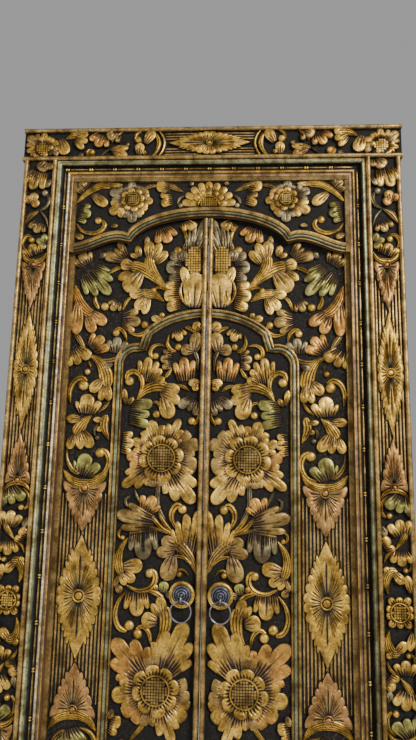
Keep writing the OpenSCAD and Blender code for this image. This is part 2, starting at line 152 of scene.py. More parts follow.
class Carving:
    """Shells of relief on one board, joined into one mesh at the end."""

    def __init__(self, name, ground, relief, seed):
        self.name, self.ground, self.relief = name, ground, relief
        self.rng = np.random.default_rng(seed)
        self.points, self.faces, self.paint, self.gilt_and_shade = [], [], [], []
        self.count = 0
        self.across, self.up, self.x0, self.z0 = 1, 1, 0.0, 0.0

    def place(self, across=1, up=1, x0=0.0, z0=0.0):
        """Where the next motifs go: across -1 is the left of the door, up -1 turns them over."""
        self.across, self.up, self.x0, self.z0 = across, up, x0, z0
        return self

    def add(self, points, faces, paint, gilt_and_shade):
        """Adds points in the door's frame and the faces between them."""
        points = np.asarray(points, float)
        self.points.append(points)
        self.faces.extend([[i + self.count for i in f] for f in faces])
        colour = np.asarray(PAINTS[paint] if isinstance(paint, str) else paint, float)
        self.paint.append(np.broadcast_to(colour, (len(points), 3)))
        self.gilt_and_shade.append(np.broadcast_to(np.asarray(gilt_and_shade, float), (len(points),)))
        self.count += len(points)

    def shell(self, a, z, height, gilt_and_shade, paint, wrap=False, hole=False):
        """A closed shell under a grid of points. wrap joins the last row to the first."""
        rows, cols = a.shape
        index = np.arange(rows * cols).reshape(rows, cols)
        ring = np.vstack([index, index[:1]]) if wrap else index
        faces = np.stack(
            [ring[:-1, :-1], ring[1:, :-1], ring[1:, 1:], ring[:-1, 1:]], -1
        ).reshape(-1, 4).tolist()
        if wrap:
            loops = [index[:, -1], index[:, 0]]
        else:
            loops = [np.concatenate(
                [index[0, :], index[1:, -1], index[-1, -2::-1], index[-2:0:-1, 0]]
            )]
        height = np.minimum(height, self.relief)
        flat = [a.ravel(), z.ravel(), height.ravel(), np.asarray(gilt_and_shade, float).ravel()]
        colour = np.asarray(PAINTS[paint] if isinstance(paint, str) else paint, float)
        colour = np.broadcast_to(colour, (rows, cols, 3)).reshape(-1, 3)
        sides = loops if (not wrap or hole) else loops[:1]
        if wrap and not hole:
            faces.append(loops[1].tolist())
        lows, count = [], rows * cols
        for loop in sides:
            low = np.arange(len(loop)) + count
            count += len(loop)
            lows.append(low)
            after = np.roll(np.arange(len(loop)), -1)
            faces += np.stack([loop, loop[after], low[after], low], -1).tolist()
            flat[0] = np.concatenate([flat[0], a.ravel()[loop]])
            flat[1] = np.concatenate([flat[1], z.ravel()[loop]])
            flat[2] = np.concatenate([flat[2], np.full(len(loop), -SINK)])
            # The skirt ends with no gilt at its foot, so each wall darkens from the crest's gilt
            # down to the ground.
            flat[3] = np.concatenate([flat[3], np.zeros(len(loop))])
            colour = np.vstack([colour, colour[loop]])
        if len(lows) == 2:
            after = np.roll(np.arange(len(lows[0])), -1)
            faces += np.stack([lows[0], lows[0][after], lows[1][after], lows[1]], -1).tolist()
        else:
            faces.append(lows[0].tolist())
        points = np.stack([
            self.across * flat[0] + self.x0,
            self.ground - flat[2],
            self.up * flat[1] + self.z0,
        ], -1)
        self.add(points, faces, colour, flat[3])

    def mesh(self, body, slot, material, back, replaced):
        """Joins the shells into one piece that rides on a CAD body."""
        data = bpy.data.meshes.new(self.name)
        points = np.vstack(self.points) * MM
        data.from_pydata(points.tolist(), [], self.faces)
        work = bmesh.new()
        work.from_mesh(data)
        bmesh.ops.recalc_face_normals(work, faces=work.faces)
        work.to_mesh(data)
        work.free()
        rgba = np.hstack([np.vstack(self.paint), np.ones((self.count, 1))])
        layer = data.attributes.new("paint", "FLOAT_COLOR", "POINT")
        layer.data.foreach_set("color", rgba.astype(np.float32).ravel())
        layer = data.attributes.new("gilt_and_shade", "FLOAT", "POINT")
        layer.data.foreach_set("value", np.concatenate(self.gilt_and_shade).astype(np.float32))
        data.polygons.foreach_set("use_smooth", np.ones(len(data.polygons), bool))
        data.set_sharp_from_angle(angle=SHARP_ANGLE)
        data.materials.append(material)
        data.materials.append(back)
        middles = np.array([f.center[1] for f in data.polygons])
        data.polygons.foreach_set(
            "material_index", (middles > (self.ground + TIMBER_DEPTH) * MM).astype(np.int32))
        piece = bpy.data.objects.new(self.name, data)
        bpy.context.scene.collection.objects.link(piece)
        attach(piece, body)
        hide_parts(replaced)
        print(self.name, "triangles", sum(len(f) - 2 for f in self.faces))


print("bench ready: shells sink", SINK, "mm into the board")

# %% [markdown]
# ## Two cuts that make everything
#
# A carver gets this whole vine from two cuts. The first follows a line with a gouge: stems,
# scrolls, single petals and mouldings. The second fans out from a point: comb leaves with
# rounded lobes, flower petals and lozenges. Both are written once here, and each motif below
# is one of them with its own sizes.

# %% Cut along a line


def flowing(points, step=4.0):
    """A smooth line through the points, with a point about every step."""
    p = np.array(points, float)
    ends = np.vstack([2 * p[0] - p[1], p, 2 * p[-1] - p[-2]])
    line = []
    for i in range(len(p) - 1):
        a, b, c, d = ends[i:i + 4]
        n = max(2, int(np.linalg.norm(c - b) / step))
        t = np.arange(n)[:, None] / n
        line.append(0.5 * (2 * b + (c - a) * t + (2 * a - 5 * b + 4 * c - d) * t**2
                           + (3 * b - a - 3 * c + d) * t**3))
    return np.vstack(line + [p[-1:]])


def sweep(carving, line, half_width, offsets, height, gilt_and_shade, paint, wrap=False):
    """Carries a profile along a line. offsets run from -1 to 1 over the width."""
    if wrap:
        along = np.roll(line, -1, 0) - np.roll(line, 1, 0)
    else:
        along = np.gradient(line, axis=0)
    along /= np.linalg.norm(along, axis=1)[:, None]
    side = np.stack([-along[:, 1], along[:, 0]], -1)
    reach = half_width[:, None] * offsets[None, :]
    a = line[:, :1] + side[:, :1] * reach
    z = line[:, 1:] + side[:, 1:] * reach
    carving.shell(a, z, height, gilt_and_shade, paint, wrap=wrap, hole=wrap)


print("along a line: flowing, sweep")

# %% Stems and petals
WIDE_STEM = 15  # a wider stem gets one more groove
STEM_FULLNESS, PETAL_FULLNESS = 1.16, 1.18  # the cut runs out a little past the drawn width
PETAL_REACH = 1.06
PETAL_WIDEST = 0.6  # where a petal is widest, as a share of its length


def stem(carving, points, widths, paint="gold", grooves=1, rise=0.8, step=5.0):
    """A gouged ribbon with a width at its start, middle and end, and grooves along it."""
    line = flowing(points, step)
    n = len(line)
    s = np.linspace(0, 1, n)
    half = np.interp(s, np.linspace(0, 1, len(widths)), widths) * STEM_FULLNESS / 2
    grooves += int(max(widths) > WIDE_STEM)
    ends = np.minimum(s, 1 - s) * n / 1.5
    half = np.maximum(half * np.clip(0.45 + 0.55 * ends, 0, 1), 0.6)
    cols = 4 * (grooves + 1) + 1
    c = np.linspace(-1, 1, cols)
    ridge = np.clip(np.abs(np.sin(np.pi / 2 * (c + 1) * (grooves + 1))) * 1.5, 0, 1)
    body = np.sqrt(1 - 0.8 * c**2)
    top = carving.relief * rise * (0.42 * body + 0.40 * ridge * body + 0.1)
    lift = np.clip(0.75 + 0.25 * np.sin(np.pi * s), 0, 1)
    height = lift[:, None] * top[None, :]
    gilt_and_shade = np.broadcast_to(ridge, height.shape)
    sweep(carving, line, half, c, height, gilt_and_shade, paint)


def petal(carving, base, tip, width, paint="gold", rise=1.0, veins=3):
    """A rounded lobe from its base to its tip, domed across, with veins cut along it."""
    base, tip = np.array(base, float), np.array(tip, float)
    tip = base + (tip - base) * PETAL_REACH
    s = np.linspace(0, 1, 12) ** 0.88
    line = base + (tip - base) * s[:, None]
    grow = 0.42 + 0.58 * np.sin(np.pi / 2 * np.clip(s / PETAL_WIDEST, 0, 1))
    closing = np.clip(s - PETAL_WIDEST, 0, 1) / (1 - PETAL_WIDEST)
    shut = np.sqrt(np.clip(1 - closing**2, 0.004, 1))
    half = width * PETAL_FULLNESS / 2 * grow * shut
    c = np.linspace(-1, 1, 3 * (veins + 1) + 1)
    c = np.sign(c) * np.abs(c) ** 0.85
    dome = np.sqrt(1 - 0.86 * c**2)
    along = 0.68 + 0.32 * np.sin(np.pi * np.clip(s * 0.86 + 0.02, 0, 1)) ** 0.8
    shape = along[:, None] * (0.60 + 0.40 * dome[None, :])
    rim = np.minimum(np.clip((1 - np.abs(c)) / 0.12, 0, 1)[None, :],
                     np.clip((1 - s) / 0.05, 0, 1)[:, None])
    # Painted shade: the gilt thins towards the base, where the petal springs from the parts below
    # it.
    gilt_and_shade = rim * np.clip(0.25 + s / 0.2, 0, 1)[:, None]
    if veins:
        line_cut = np.zeros(len(c))
        line_cut[3:-1:3] = 1
        reach = np.where(np.abs(c) < 0.1, 0.74, 0.58)
        mark = line_cut[None, :] * np.clip((reach[None, :] - s[:, None]) / 0.16, 0, 1)
        shape = shape * (1 - 0.22 * mark)
        gilt_and_shade = gilt_and_shade * (1 - mark)
    # The paint turns to umber towards the base, the same painted shade.
    blend = np.clip(s / 0.5, 0, 1)[:, None, None] ** 0.8
    colour = np.array(PAINTS["umber_shade"]) * (1 - blend) + np.array(PAINTS[paint]) * blend
    sweep(carving, line, half, c, carving.relief * rise * shape, gilt_and_shade,
          np.broadcast_to(colour, (*shape.shape, 3)))


print("cut along a line: stem, petal")

# %% Cut fanning out from a point
LOBE_BULGE = 0.28  # how much rounder a lozenge's side lobes are than its tips
SLIT_DEPTH, VEIN_DEPTH, SPINE_DEPTH = 0.45, 0.32, 0.15  # shares of the relief


def fan(carving, centre, toward, cuts, reaches, inner, paint, slits=0, slit_reach=0.66,
        seam=0.3, flat_base=False, stretch=(1.0, 1.0), rise=1.0, wrap=False, notch=0.5,
        vein=False, cols=9, core="gold", dark_core=0.35, diamond=None,
        seam_span=(-1.0, 2.0), spine=False, bend=0.0):
    """Lobes between the cut angles, each with its own reach, grooved towards the centre.

    slits are the saw cuts of a comb, seam the dip between lobes, notch how deep the outline
    steps in there, diamond (power, tips) a lozenge outline, and bend bows the whole fan.
    """
    lobes = len(reaches)
    per = max(12 if vein else 8, int(math.ceil(6.0 * slits / lobes)))
    within = np.linspace(0, 1, per + 1)
    gaps = np.array(
        [reaches[0] if not wrap else min(reaches[0], reaches[-1])]
        + [min(reaches[i], reaches[i + 1]) for i in range(lobes - 1)]
        + [reaches[-1] if not wrap else min(reaches[0], reaches[-1])]
    )
    gaps = inner + (gaps - inner) * (1 - notch)
    # The outline: an angle, a reach and a place within its lobe for each ray.
    angle, reach, lobe = [], [], []
    for i in range(lobes):
        part = within[:-1] if (wrap or i < lobes - 1) else within
        bow = np.sin(np.pi * part) ** 0.5
        low = gaps[i] + (gaps[i + 1] - gaps[i]) * part
        angle.append(cuts[i] + (cuts[i + 1] - cuts[i]) * part)
        reach.append(low + (reaches[i] - low) * bow)
        lobe.append(part)
    angle, reach, lobe = map(np.concatenate, (angle, reach, lobe))
    theta = np.radians(angle)
    if diamond:
        power, pointed = diamond
        which = np.minimum(np.searchsorted(cuts, angle, side="right") - 1, lobes - 1)
        bulge = np.where(np.isin(which, pointed), power, power + LOBE_BULGE)
        whole = (np.abs(np.cos(theta)) ** bulge + np.abs(np.sin(theta)) ** bulge) ** (-1 / bulge)
        bow = np.where(np.isin(which, pointed), 1.0, np.sin(np.pi * lobe) ** 0.6)
        reach = whole * (1 - notch * (1 - bow))
    # The grid: rays from the inner end to the outline, p being the share of the way out.
    start = inner / np.cos(theta) if flat_base else np.full(len(theta), inner)
    p = np.linspace(0, 1, cols) ** 0.9
    r = start[:, None] + (reach - start)[:, None] * p[None, :]
    u = r * np.cos(theta)[:, None] * stretch[0]
    w = r * np.sin(theta)[:, None] * stretch[1]
    a = centre[0] + u * toward[0] - w * toward[1]
    z = centre[1] + u * toward[1] + w * toward[0] + bend * (a - centre[0]) ** 2
    # Height and gilt: swelling outwards, rounded at the rim, dipped and dark in each seam.
    swell = 0.62 + 0.38 * np.clip(p / 0.5, 0, 1) ** 0.8
    edge = 0.66 + 0.34 * np.sqrt(np.clip(1 - np.clip((p - 0.5) / 0.5, 0, 1) ** 2.2, 0, 1))
    puff = 1 - seam * (1 - np.sin(np.pi * lobe) ** 0.55)
    shown = np.clip((p - seam_span[0]) / 0.12, 0, 1) * np.clip((seam_span[1] - p) / 0.1, 0, 1)
    shape = (swell * edge)[None, :] * (1 - (1 - puff)[:, None] * shown * np.clip(p / 0.25, 0.3, 1))
    gilt_and_shade = np.broadcast_to(np.clip((1 - p) / 0.07, 0, 1)[None, :], shape.shape)
    # dark_core thins the gilt towards the inner end: painted shade where the fan springs from the
    # parts round it.
    gilt_and_shade = gilt_and_shade * np.clip(dark_core + p / 0.32, 0, 1)[None, :]
    seam_line = np.clip(np.sin(np.pi * lobe) * 2.4 + 0.05, 0, 1)[:, None]
    gilt_and_shade = gilt_and_shade * (1 - (1 - seam_line) * shown[None, :])
    if not wrap:
        inward = np.minimum(angle - angle[0], angle[-1] - angle) / 1.8
        gilt_and_shade = gilt_and_shade * np.clip(inward, 0, 1)[:, None]
    if slits:
        turn = (angle - angle[0]) / (cuts[-1] - cuts[0])
        tooth = 0.5 - 0.5 * np.cos(2 * np.pi * slits * turn)
        deep_end = slit_reach * (0.82 + 0.18 * np.cos(7 * turn * slits))
        mask = np.clip((deep_end[:, None] - p[None, :]) / 0.2, 0, 1)
        cut = np.clip(1.35 * (1 - tooth), 0, 1)[:, None] * mask
        shape = shape * (1 - SLIT_DEPTH * cut)
        gilt_and_shade = np.clip(gilt_and_shade + 0.5 * mask * tooth[:, None], 0, 1) * (1 - cut)
    if vein:
        mark = np.exp(-((lobe - 0.5) / 0.16) ** 2)[:, None]
        mark = mark * np.clip((0.72 - p) / 0.15, 0, 1)[None, :]
        shape = shape * (1 - VEIN_DEPTH * mark)
        gilt_and_shade = gilt_and_shade * (1 - mark)
    if spine:
        across = (angle - (cuts[0] + cuts[-1]) / 2) / 1.5
        mark = np.exp(-across[:, None] ** 2) * np.clip((0.86 - p) / 0.1, 0, 1)[None, :]
        shape = shape * (1 - SPINE_DEPTH * mark)
        gilt_and_shade = gilt_and_shade * (1 - 0.85 * mark)
    height = carving.relief * rise * shape
    if not wrap:
        turn = (angle - angle[0]) / (cuts[-1] - cuts[0])
        height = height * (0.7 + 0.3 * np.clip(np.minimum(turn, 1 - turn) / 0.07, 0, 1))[:, None]
    # The paint blends in from the core colour towards the inner end; a leaf's umber core is
    # painted shade there.
    colour = np.array(PAINTS[paint])
    deep = np.array(PAINTS[core])
    blend = np.clip(p / 0.55, 0, 1)[None, :, None]
    colour = np.broadcast_to(deep * (1 - blend) + colour * blend, (*height.shape, 3))
    carving.shell(a, z, height, gilt_and_shade, colour, wrap=wrap)


print("from a point: fan")

# %% Comb leaves
SLIT_PITCH = 4.8  # between two saw cuts of a comb


def shared(spread, lobes):
    """Cut angles that give the longer lobes a larger share of the spread."""
    power = 3.0 if len(lobes) < 5 else 1.2
    share = np.cumsum([0.0] + [(v / max(lobes)) ** power for v in lobes])
    return spread * (share / share[-1] - 0.5)


def leaf(carving, middle, tip, width, lobes, paint="gold", spread=62, slits=None):
    """A comb leaf: a straight comb edge, and rounded lobes that end at the tip."""
    middle, tip = np.array(middle, float), np.array(tip, float)
    length = np.linalg.norm(tip - middle) * 1.12
    toward = (tip - middle) / np.linalg.norm(tip - middle)
    width = width * (1.06 if spread < 40 else 0.92)
    back = width / 2 / math.tan(math.radians(spread / 2))
    cuts = shared(spread, lobes)
    reaches = back + length * np.array(lobes, float) / max(lobes)
    # The umber core darkens the comb's base: painted shade.
    fan(carving, middle - toward * back, toward, cuts, reaches, back, paint,
        slits=slits or max(5, round(width / SLIT_PITCH)), flat_base=True, seam=0.16,
        notch=0.24, core="umber_shade", spine=len(lobes) > 2, seam_span=(0.62, 2.0))


print("leaves: shared, leaf")

# %% Domes, rings and hatched pads


def dome(carving, centre, radius, paint="gold", low=0.3, top=1.0, turns=16):
    """A round boss."""
    t = np.linspace(0, 2 * np.pi, turns, endpoint=False)[:, None]
    p = np.array([0.12, 0.45, 0.75, 0.93, 1.0])[None, :]
    a = centre[0] + radius * p * np.cos(t)
    z = centre[1] + radius * p * np.sin(t)
    height = carving.relief * (low + (top - low) * np.sqrt(1 - p**2)) + 0 * t
    gilt_and_shade = np.clip(1.6 * np.sqrt(1 - p**2) + 0.1, 0, 1) + 0 * t
    carving.shell(a, z, height, gilt_and_shade, paint, wrap=True)


def ring(carving, centre, radius, width, paint="gold", low=0.6, top=1.0, turns=30):
    """A raised ring round a boss or a flower's middle."""
    t = np.linspace(0, 2 * np.pi, turns, endpoint=False)
    line = np.stack([centre[0] + radius * np.cos(t), centre[1] + radius * np.sin(t)], -1)
    c = np.linspace(-1, 1, 7)
    bow = np.sqrt(1 - c**2)
    height = np.broadcast_to(carving.relief * (low + (top - low) * bow), (turns, 7))
    gilt_and_shade = np.broadcast_to(np.clip(0.15 + 1.1 * bow, 0, 1), (turns, 7))
    sweep(carving, line, np.full(turns, width / 2), c, height, gilt_and_shade, paint, wrap=True)


STUD = 0.74  # width of a stud as a share of the pitch between saw cuts


def hatch(carving, inside, low, high, pitch, height, paint="gold"):
    """Square studs left standing between crossed saw cuts, wherever inside(a, z) is true."""
    for a in np.arange(low[0], high[0], pitch):
        for z in np.arange(low[1], high[1], pitch):
            if inside(a, z):
                h = height(a, z)
                s = pitch * STUD / 2
                corner = np.array([[a - s, a - s], [a + s, a + s]])
                across = np.array([[z - s, z + s], [z - s, z + s]])
                lift = np.full((2, 2), h) + carving.rng.uniform(-0.3, 0.1)
                carving.shell(corner, across, lift, np.ones((2, 2)), paint)


print("small parts: dome, ring, hatch")

# %% Scrolls, branches and flowers
SCROLL_RISE = 0.85


def scroll(carving, points, width, ball, radius, paint="gold"):
    """A stem that curls into a ball."""
    stem(carving, points, (width * 0.5, width * 1.1, width * 1.25), paint, rise=SCROLL_RISE)
    dome(carving, ball, radius * 1.12, paint, low=0.3, top=SCROLL_RISE + 0.2)


def branch(carving, points, widths, petals, paint="gold", grooves=2):
    """An acanthus branch: a grooved stem with lobes at its end."""
    for base, tip, width in petals:
        petal(carving, base, tip, width * 0.86, paint)
    stem(carving, points, [w * 1.14 for w in widths], paint, grooves, rise=0.92)


def flower(carving, centre, disc, outer, petals=8, paint="gold", pitch=None):
    """A hatched disc in a ring, in a ring of round petals."""
    cuts = np.linspace(0, 360, petals + 1) + 12
    reaches = outer * carving.rng.uniform(0.93, 1.04, petals)
    fan(carving, centre, (1.0, 0.0), cuts, reaches, disc * 0.95, paint, slits=petals * 4,
        slit_reach=0.70, seam=0.5, wrap=True, notch=0.42, rise=0.95, core="stone",
        dark_core=0.05)
    dome(carving, centre, disc * 0.95, "black", low=0.62, top=0.92, turns=28)
    ring(carving, centre, disc, disc * 0.14, paint, low=0.5, top=1.06)
    pitch = pitch or disc * 0.2
    reach = disc * 0.86

    def inside(a, z):
        return math.hypot(a - centre[0], z - centre[1]) < reach

    def height(a, z):
        far = math.hypot(a - centre[0], z - centre[1]) / disc
        return carving.relief * (0.62 + 0.34 * math.sqrt(max(0, 1 - far * far)) + 0.1)

    start = np.array(centre) - pitch * math.floor(disc / pitch)
    hatch(carving, inside, start, np.array(centre) + disc, pitch, height, "brown")


POINTED = (0.64, 0.81, 1, 0.81, 0.64)  # lobes of an outer petal, as shares of its reach
ROUND = (0.84, 1, 0.84)
BROAD = (0.93, 1)


def corolla(carving, centre, inner, petals):
    """Outer petals behind a flower: (direction, spread, reach, lobes, paint) in each."""
    for i, (direction, spread, reach, lobes, paint) in enumerate(petals):
        t = math.radians(direction)
        fan(carving, centre, (math.cos(t), math.sin(t)), shared(spread * 1.12, lobes),
            reach * np.array(lobes, float), inner, paint,
            slits=max(4, round(spread / 5.2)), slit_reach=0.58, seam=0.12, notch=0.09,
            rise=0.84 + 0.09 * (i % 2), core="plum", dark_core=0.0, spine=len(lobes) > 2,
            seam_span=(0.72, 2.0))


print("flowers: scroll, branch, flower, corolla")

# %% Lozenges and half flowers
TIP_POWER = 1.06  # 1 is a straight-sided tip, more is a fuller one
QUARTER = np.array([24, 34, 44, 55, 67, 79, 90.0])  # cuts from the tip round to the side


def lozenge(carving, centre, half_across, half_up, boss, paint="gold", lying=False):
    """A long flower with pointed ends and a ringed boss."""
    back = QUARTER[-2::-1]
    cuts = np.concatenate([[-QUARTER[0]], QUARTER, 180 - back, 180 + QUARTER, 360 - back])
    lobes = len(cuts) - 1
    toward = (1.0, 0.0) if lying else (0.0, 1.0)
    stretch = (half_across, half_up) if lying else (half_up, half_across)
    fan(carving, centre, toward, cuts, [1.0] * lobes, boss / max(stretch) * 1.3, paint,
        stretch=stretch, wrap=True, notch=0.12, vein=True, cols=11, core="stone",
        dark_core=0.1, diamond=(TIP_POWER, [0, lobes // 2]), seam_span=(-1.0, 0.72))
    dome(carving, centre, boss * 1.3, "black", low=0.3, top=0.8)
    ring(carving, centre, boss * 0.86, boss * 0.32, paint, low=0.6, top=1.0, turns=24)
    dome(carving, centre, boss * 0.6, paint, low=0.6, top=1.1)


def half_bud(carving, centre, way, half_across, length, boss, paint="gold"):
    """Half of such a flower, growing up (way 1) or down (way -1) from a crescent."""
    cuts = np.array([-90, -73, -57, -43, -30, -17, 17, 30, 43, 57, 73, 90.0])
    lobes = len(cuts) - 1
    fan(carving, centre, (0.0, float(way)), cuts, [1.0] * lobes, 0.12, paint,
        stretch=(length, half_across), notch=0.12, vein=True, cols=11, core="stone",
        dark_core=0.1, diamond=(TIP_POWER, [lobes // 2]), bend=-way * 0.4 / half_across,
        seam_span=(-1.0, 0.72))
    ring(carving, centre, boss * 0.86, boss * 0.3, paint, low=0.5, top=0.95, turns=24)
    dome(carving, centre, boss * 0.6, paint, low=0.5, top=1.05)


print("long flowers: lozenge, half_bud")

# %% [markdown]
# ## Worn gold with painted shade, old timber and dark iron
#
# Four effects are shared, so each is a node group with its own inputs: gilding that gives way to
# the black ground where its gilt is low, on the low parts and in the painted shade that the gilt
# holds, and is specked with dirt, timber grain, tarnished metal, and turned rings.
# A painted picture of wear could be laid over the boards, but it would repeat and would not
# follow the carving. Noise in the object's own space has no seams and fits any board. A group
# gives out only colours, masks and heights. The Principled shader stays in each material.

# %% Helpers for node groups


def new_group(name, inputs, outputs):
    """A shader node group with named sockets: (name, type, value)."""
    group = bpy.data.node_groups.new(name, "ShaderNodeTree")
    for title, kind, value in inputs:
        socket = group.interface.new_socket(title, in_out="INPUT", socket_type=kind)
        socket.default_value = value
    for title, kind in outputs:
        group.interface.new_socket(title, in_out="OUTPUT", socket_type=kind)
    return group


def noise(tree, vector, scale, detail, rough):
    """Cloudy noise in space. A larger scale gives smaller clouds."""
    node = tree.nodes.new("ShaderNodeTexNoise")
    node.inputs["Scale"].default_value = scale
    node.inputs["Detail"].default_value = detail
    node.inputs["Roughness"].default_value = rough
    tree.links.new(vector, node.inputs["Vector"])
    return node.outputs["Fac"]


def ranged(tree, value, low, high, to_low=0.0, to_high=1.0):
    """Spreads the stretch from low to high over another one, 0 to 1 unless given."""
    node = tree.nodes.new("ShaderNodeMapRange")
    for title, number in (("From Min", low), ("From Max", high),
                          ("To Min", to_low), ("To Max", to_high)):
        node.inputs[title].default_value = number
    tree.links.new(value, node.inputs["Value"])
    return node.outputs["Result"]


def sums(tree, operation, first, second=0):
    """One Math node on two sockets or numbers."""
    node = tree.nodes.new("ShaderNodeMath")
    node.operation = operation
    for i, value in enumerate((first, second)):
        if isinstance(value, (int, float)):
            node.inputs[i].default_value = value
        else:
            tree.links.new(value, node.inputs[i])
    return node.outputs[0]


def mixed(tree, factor, first, second, how="MIX"):
    """Mixes two colours. Their sockets share names with value sockets, so type picks them."""
    node = tree.nodes.new("ShaderNodeMix")
    node.data_type = "RGBA"
    node.blend_type = how
    node.clamp_factor = True
    colours = [socket for socket in node.inputs if socket.type == "RGBA"]
    for socket, value in ((node.inputs[0], factor), (colours[0], first), (colours[1], second)):
        if isinstance(value, (int, float)):
            socket.default_value = value
        elif isinstance(value, tuple):
            socket.default_value = (*value, 1.0)
        else:
            tree.links.new(value, socket)
    return next(socket for socket in node.outputs if socket.type == "RGBA")


print("node helpers: new_group, noise, ranged, sums, mixed")

# %% Worn gilding
BLACK_GROUND = (0.009, 0.008, 0.007, 1.0)
gilding = new_group(
    "worn_gilding_with_painted_shade",
    [("Paint", "NodeSocketColor", (0.5, 0.35, 0.1, 1)), ("Gilt", "NodeSocketFloat", 1.0),
     ("Ground", "NodeSocketColor", BLACK_GROUND), ("Dirt", "NodeSocketFloat", 0.5)],
    [("Color", "NodeSocketColor"), ("Roughness", "NodeSocketFloat"),
     ("Metallic", "NodeSocketFloat"), ("Height", "NodeSocketFloat")],
)
gilding_in = gilding.nodes.new("NodeGroupInput")
gilding_out = gilding.nodes.new("NodeGroupOutput")
where = gilding.nodes.new("ShaderNodeTexCoord").outputs["Object"]
cloud = noise(gilding, where, 34.0, 6.0, 0.62)
fine = noise(gilding, where, 230.0, 4.0, 0.6)
speck = noise(gilding, where, 620.0, 2.0, 0.5)
# The gilt from the mesh, with the painted shade it holds, frayed by fine noise: where it is low,
# the black ground shows.
frayed_gilt_and_shade = sums(gilding, "ADD", gilding_in.outputs["Gilt"],
              ranged(gilding, fine, 0.3, 0.7, -0.16, 0.16))
cover = ranged(gilding, frayed_gilt_and_shade, 0.14, 0.52)
mottle = mixed(gilding, 1.0, gilding_in.outputs["Paint"],
               mixed(gilding, ranged(gilding, cloud, 0.38, 0.62), (0.34, 0.29, 0.23),
                     (1.26, 1.22, 1.12)), "MULTIPLY")
streak = mixed(gilding, ranged(gilding, fine, 0.44, 0.68, 0.0, 0.72), mottle, (0.12, 0.08, 0.03))
spots = sums(gilding, "MULTIPLY", ranged(gilding, speck, 0.60, 0.70), gilding_in.outputs["Dirt"])
dirty = mixed(gilding, spots, streak, (0.035, 0.026, 0.016))
ground = mixed(gilding, ranged(gilding, fine, 0.45, 0.7, 0.0, 0.6), gilding_in.outputs["Ground"],
               (0.032, 0.026, 0.020))
gilding.links.new(mixed(gilding, cover, ground, dirty), gilding_out.inputs["Color"])
gilding.links.new(sums(gilding, "ADD", ranged(gilding, cover, 0, 1, 0.86, 0.40),
                       ranged(gilding, fine, 0.3, 0.7, 0.0, 0.14)),
                  gilding_out.inputs["Roughness"])
gilding.links.new(ranged(gilding, cover, 0, 1, 0.0, 0.78), gilding_out.inputs["Metallic"])
gilding.links.new(sums(gilding, "ADD", fine, ranged(gilding, cover, 0, 1, 0.0, 0.5)),
                  gilding_out.inputs["Height"])
print("group", gilding.name)

# %% Timber grain
timber = new_group(
    "timber_grain",
    [("Dark", "NodeSocketColor", (0.05, 0.028, 0.014, 1)),
     ("Light", "NodeSocketColor", (0.16, 0.09, 0.045, 1)),
     ("Along", "NodeSocketVector", (30.0, 30.0, 2.0))],
    [("Color", "NodeSocketColor"), ("Roughness", "NodeSocketFloat"),
     ("Height", "NodeSocketFloat")],
)
timber_in = timber.nodes.new("NodeGroupInput")
timber_out = timber.nodes.new("NodeGroupOutput")
squeezed = timber.nodes.new("ShaderNodeVectorMath")
squeezed.operation = "MULTIPLY"
timber.links.new(timber.nodes.new("ShaderNodeTexCoord").outputs["Object"], squeezed.inputs[0])
timber.links.new(timber_in.outputs["Along"], squeezed.inputs[1])
fibre = noise(timber, squeezed.outputs[0], 4.0, 6.0, 0.62)
bands = noise(timber, squeezed.outputs[0], 0.7, 2.0, 0.5)
fibre_mix = sums(timber, "ADD", sums(timber, "MULTIPLY", fibre, 0.6),
                 sums(timber, "MULTIPLY", bands, 0.4))
timber.links.new(mixed(timber, ranged(timber, fibre_mix, 0.38, 0.62), timber_in.outputs["Dark"],
                       timber_in.outputs["Light"]), timber_out.inputs["Color"])
timber.links.new(ranged(timber, fibre, 0.3, 0.7, 0.85, 0.6), timber_out.inputs["Roughness"])
timber.links.new(fibre, timber_out.inputs["Height"])
print("group", timber.name)

# %% Tarnished metal
tarnish = new_group(
    "tarnished_metal",
    [("Clean", "NodeSocketColor", (0.4, 0.4, 0.42, 1)),
     ("Stain", "NodeSocketColor", (0.1, 0.1, 0.11, 1))],
    [("Color", "NodeSocketColor"), ("Roughness", "NodeSocketFloat"),
     ("Height", "NodeSocketFloat")],
)
tarnish_in = tarnish.nodes.new("NodeGroupInput")
tarnish_out = tarnish.nodes.new("NodeGroupOutput")
where_metal = tarnish.nodes.new("ShaderNodeTexCoord").outputs["Object"]
patch = noise(tarnish, where_metal, 90.0, 6.0, 0.6)
pits = noise(tarnish, where_metal, 700.0, 3.0, 0.6)
tarnish.links.new(mixed(tarnish, ranged(tarnish, patch, 0.35, 0.62), tarnish_in.outputs["Clean"],
                        tarnish_in.outputs["Stain"]), tarnish_out.inputs["Color"])
tarnish.links.new(ranged(tarnish, patch, 0.3, 0.7, 0.28, 0.6), tarnish_out.inputs["Roughness"])
tarnish.links.new(pits, tarnish_out.inputs["Height"])
print("group", tarnish.name)

# %% Turned rings
RING_PITCH = 0.27  # one turned ring, as a share of the dome's radius
turned = new_group(
    "turned_rings",
    [("Centre", "NodeSocketVector", (0.0, 0.0, 0.0)), ("Rim", "NodeSocketFloat", 0.02)],
    [("Groove", "NodeSocketFloat"), ("Outside", "NodeSocketFloat"),
     ("Height", "NodeSocketFloat")],
)
turned_in = turned.nodes.new("NodeGroupInput")
turned_out = turned.nodes.new("NodeGroupOutput")
offset = turned.nodes.new("ShaderNodeVectorMath")
offset.operation = "SUBTRACT"
turned.links.new(turned.nodes.new("ShaderNodeTexCoord").outputs["Object"], offset.inputs[0])
turned.links.new(turned_in.outputs["Centre"], offset.inputs[1])
facing = turned.nodes.new("ShaderNodeVectorMath")
facing.operation = "MULTIPLY"
facing.inputs[1].default_value = (1, 0, 1)
turned.links.new(offset.outputs[0], facing.inputs[0])
distance_node = turned.nodes.new("ShaderNodeVectorMath")
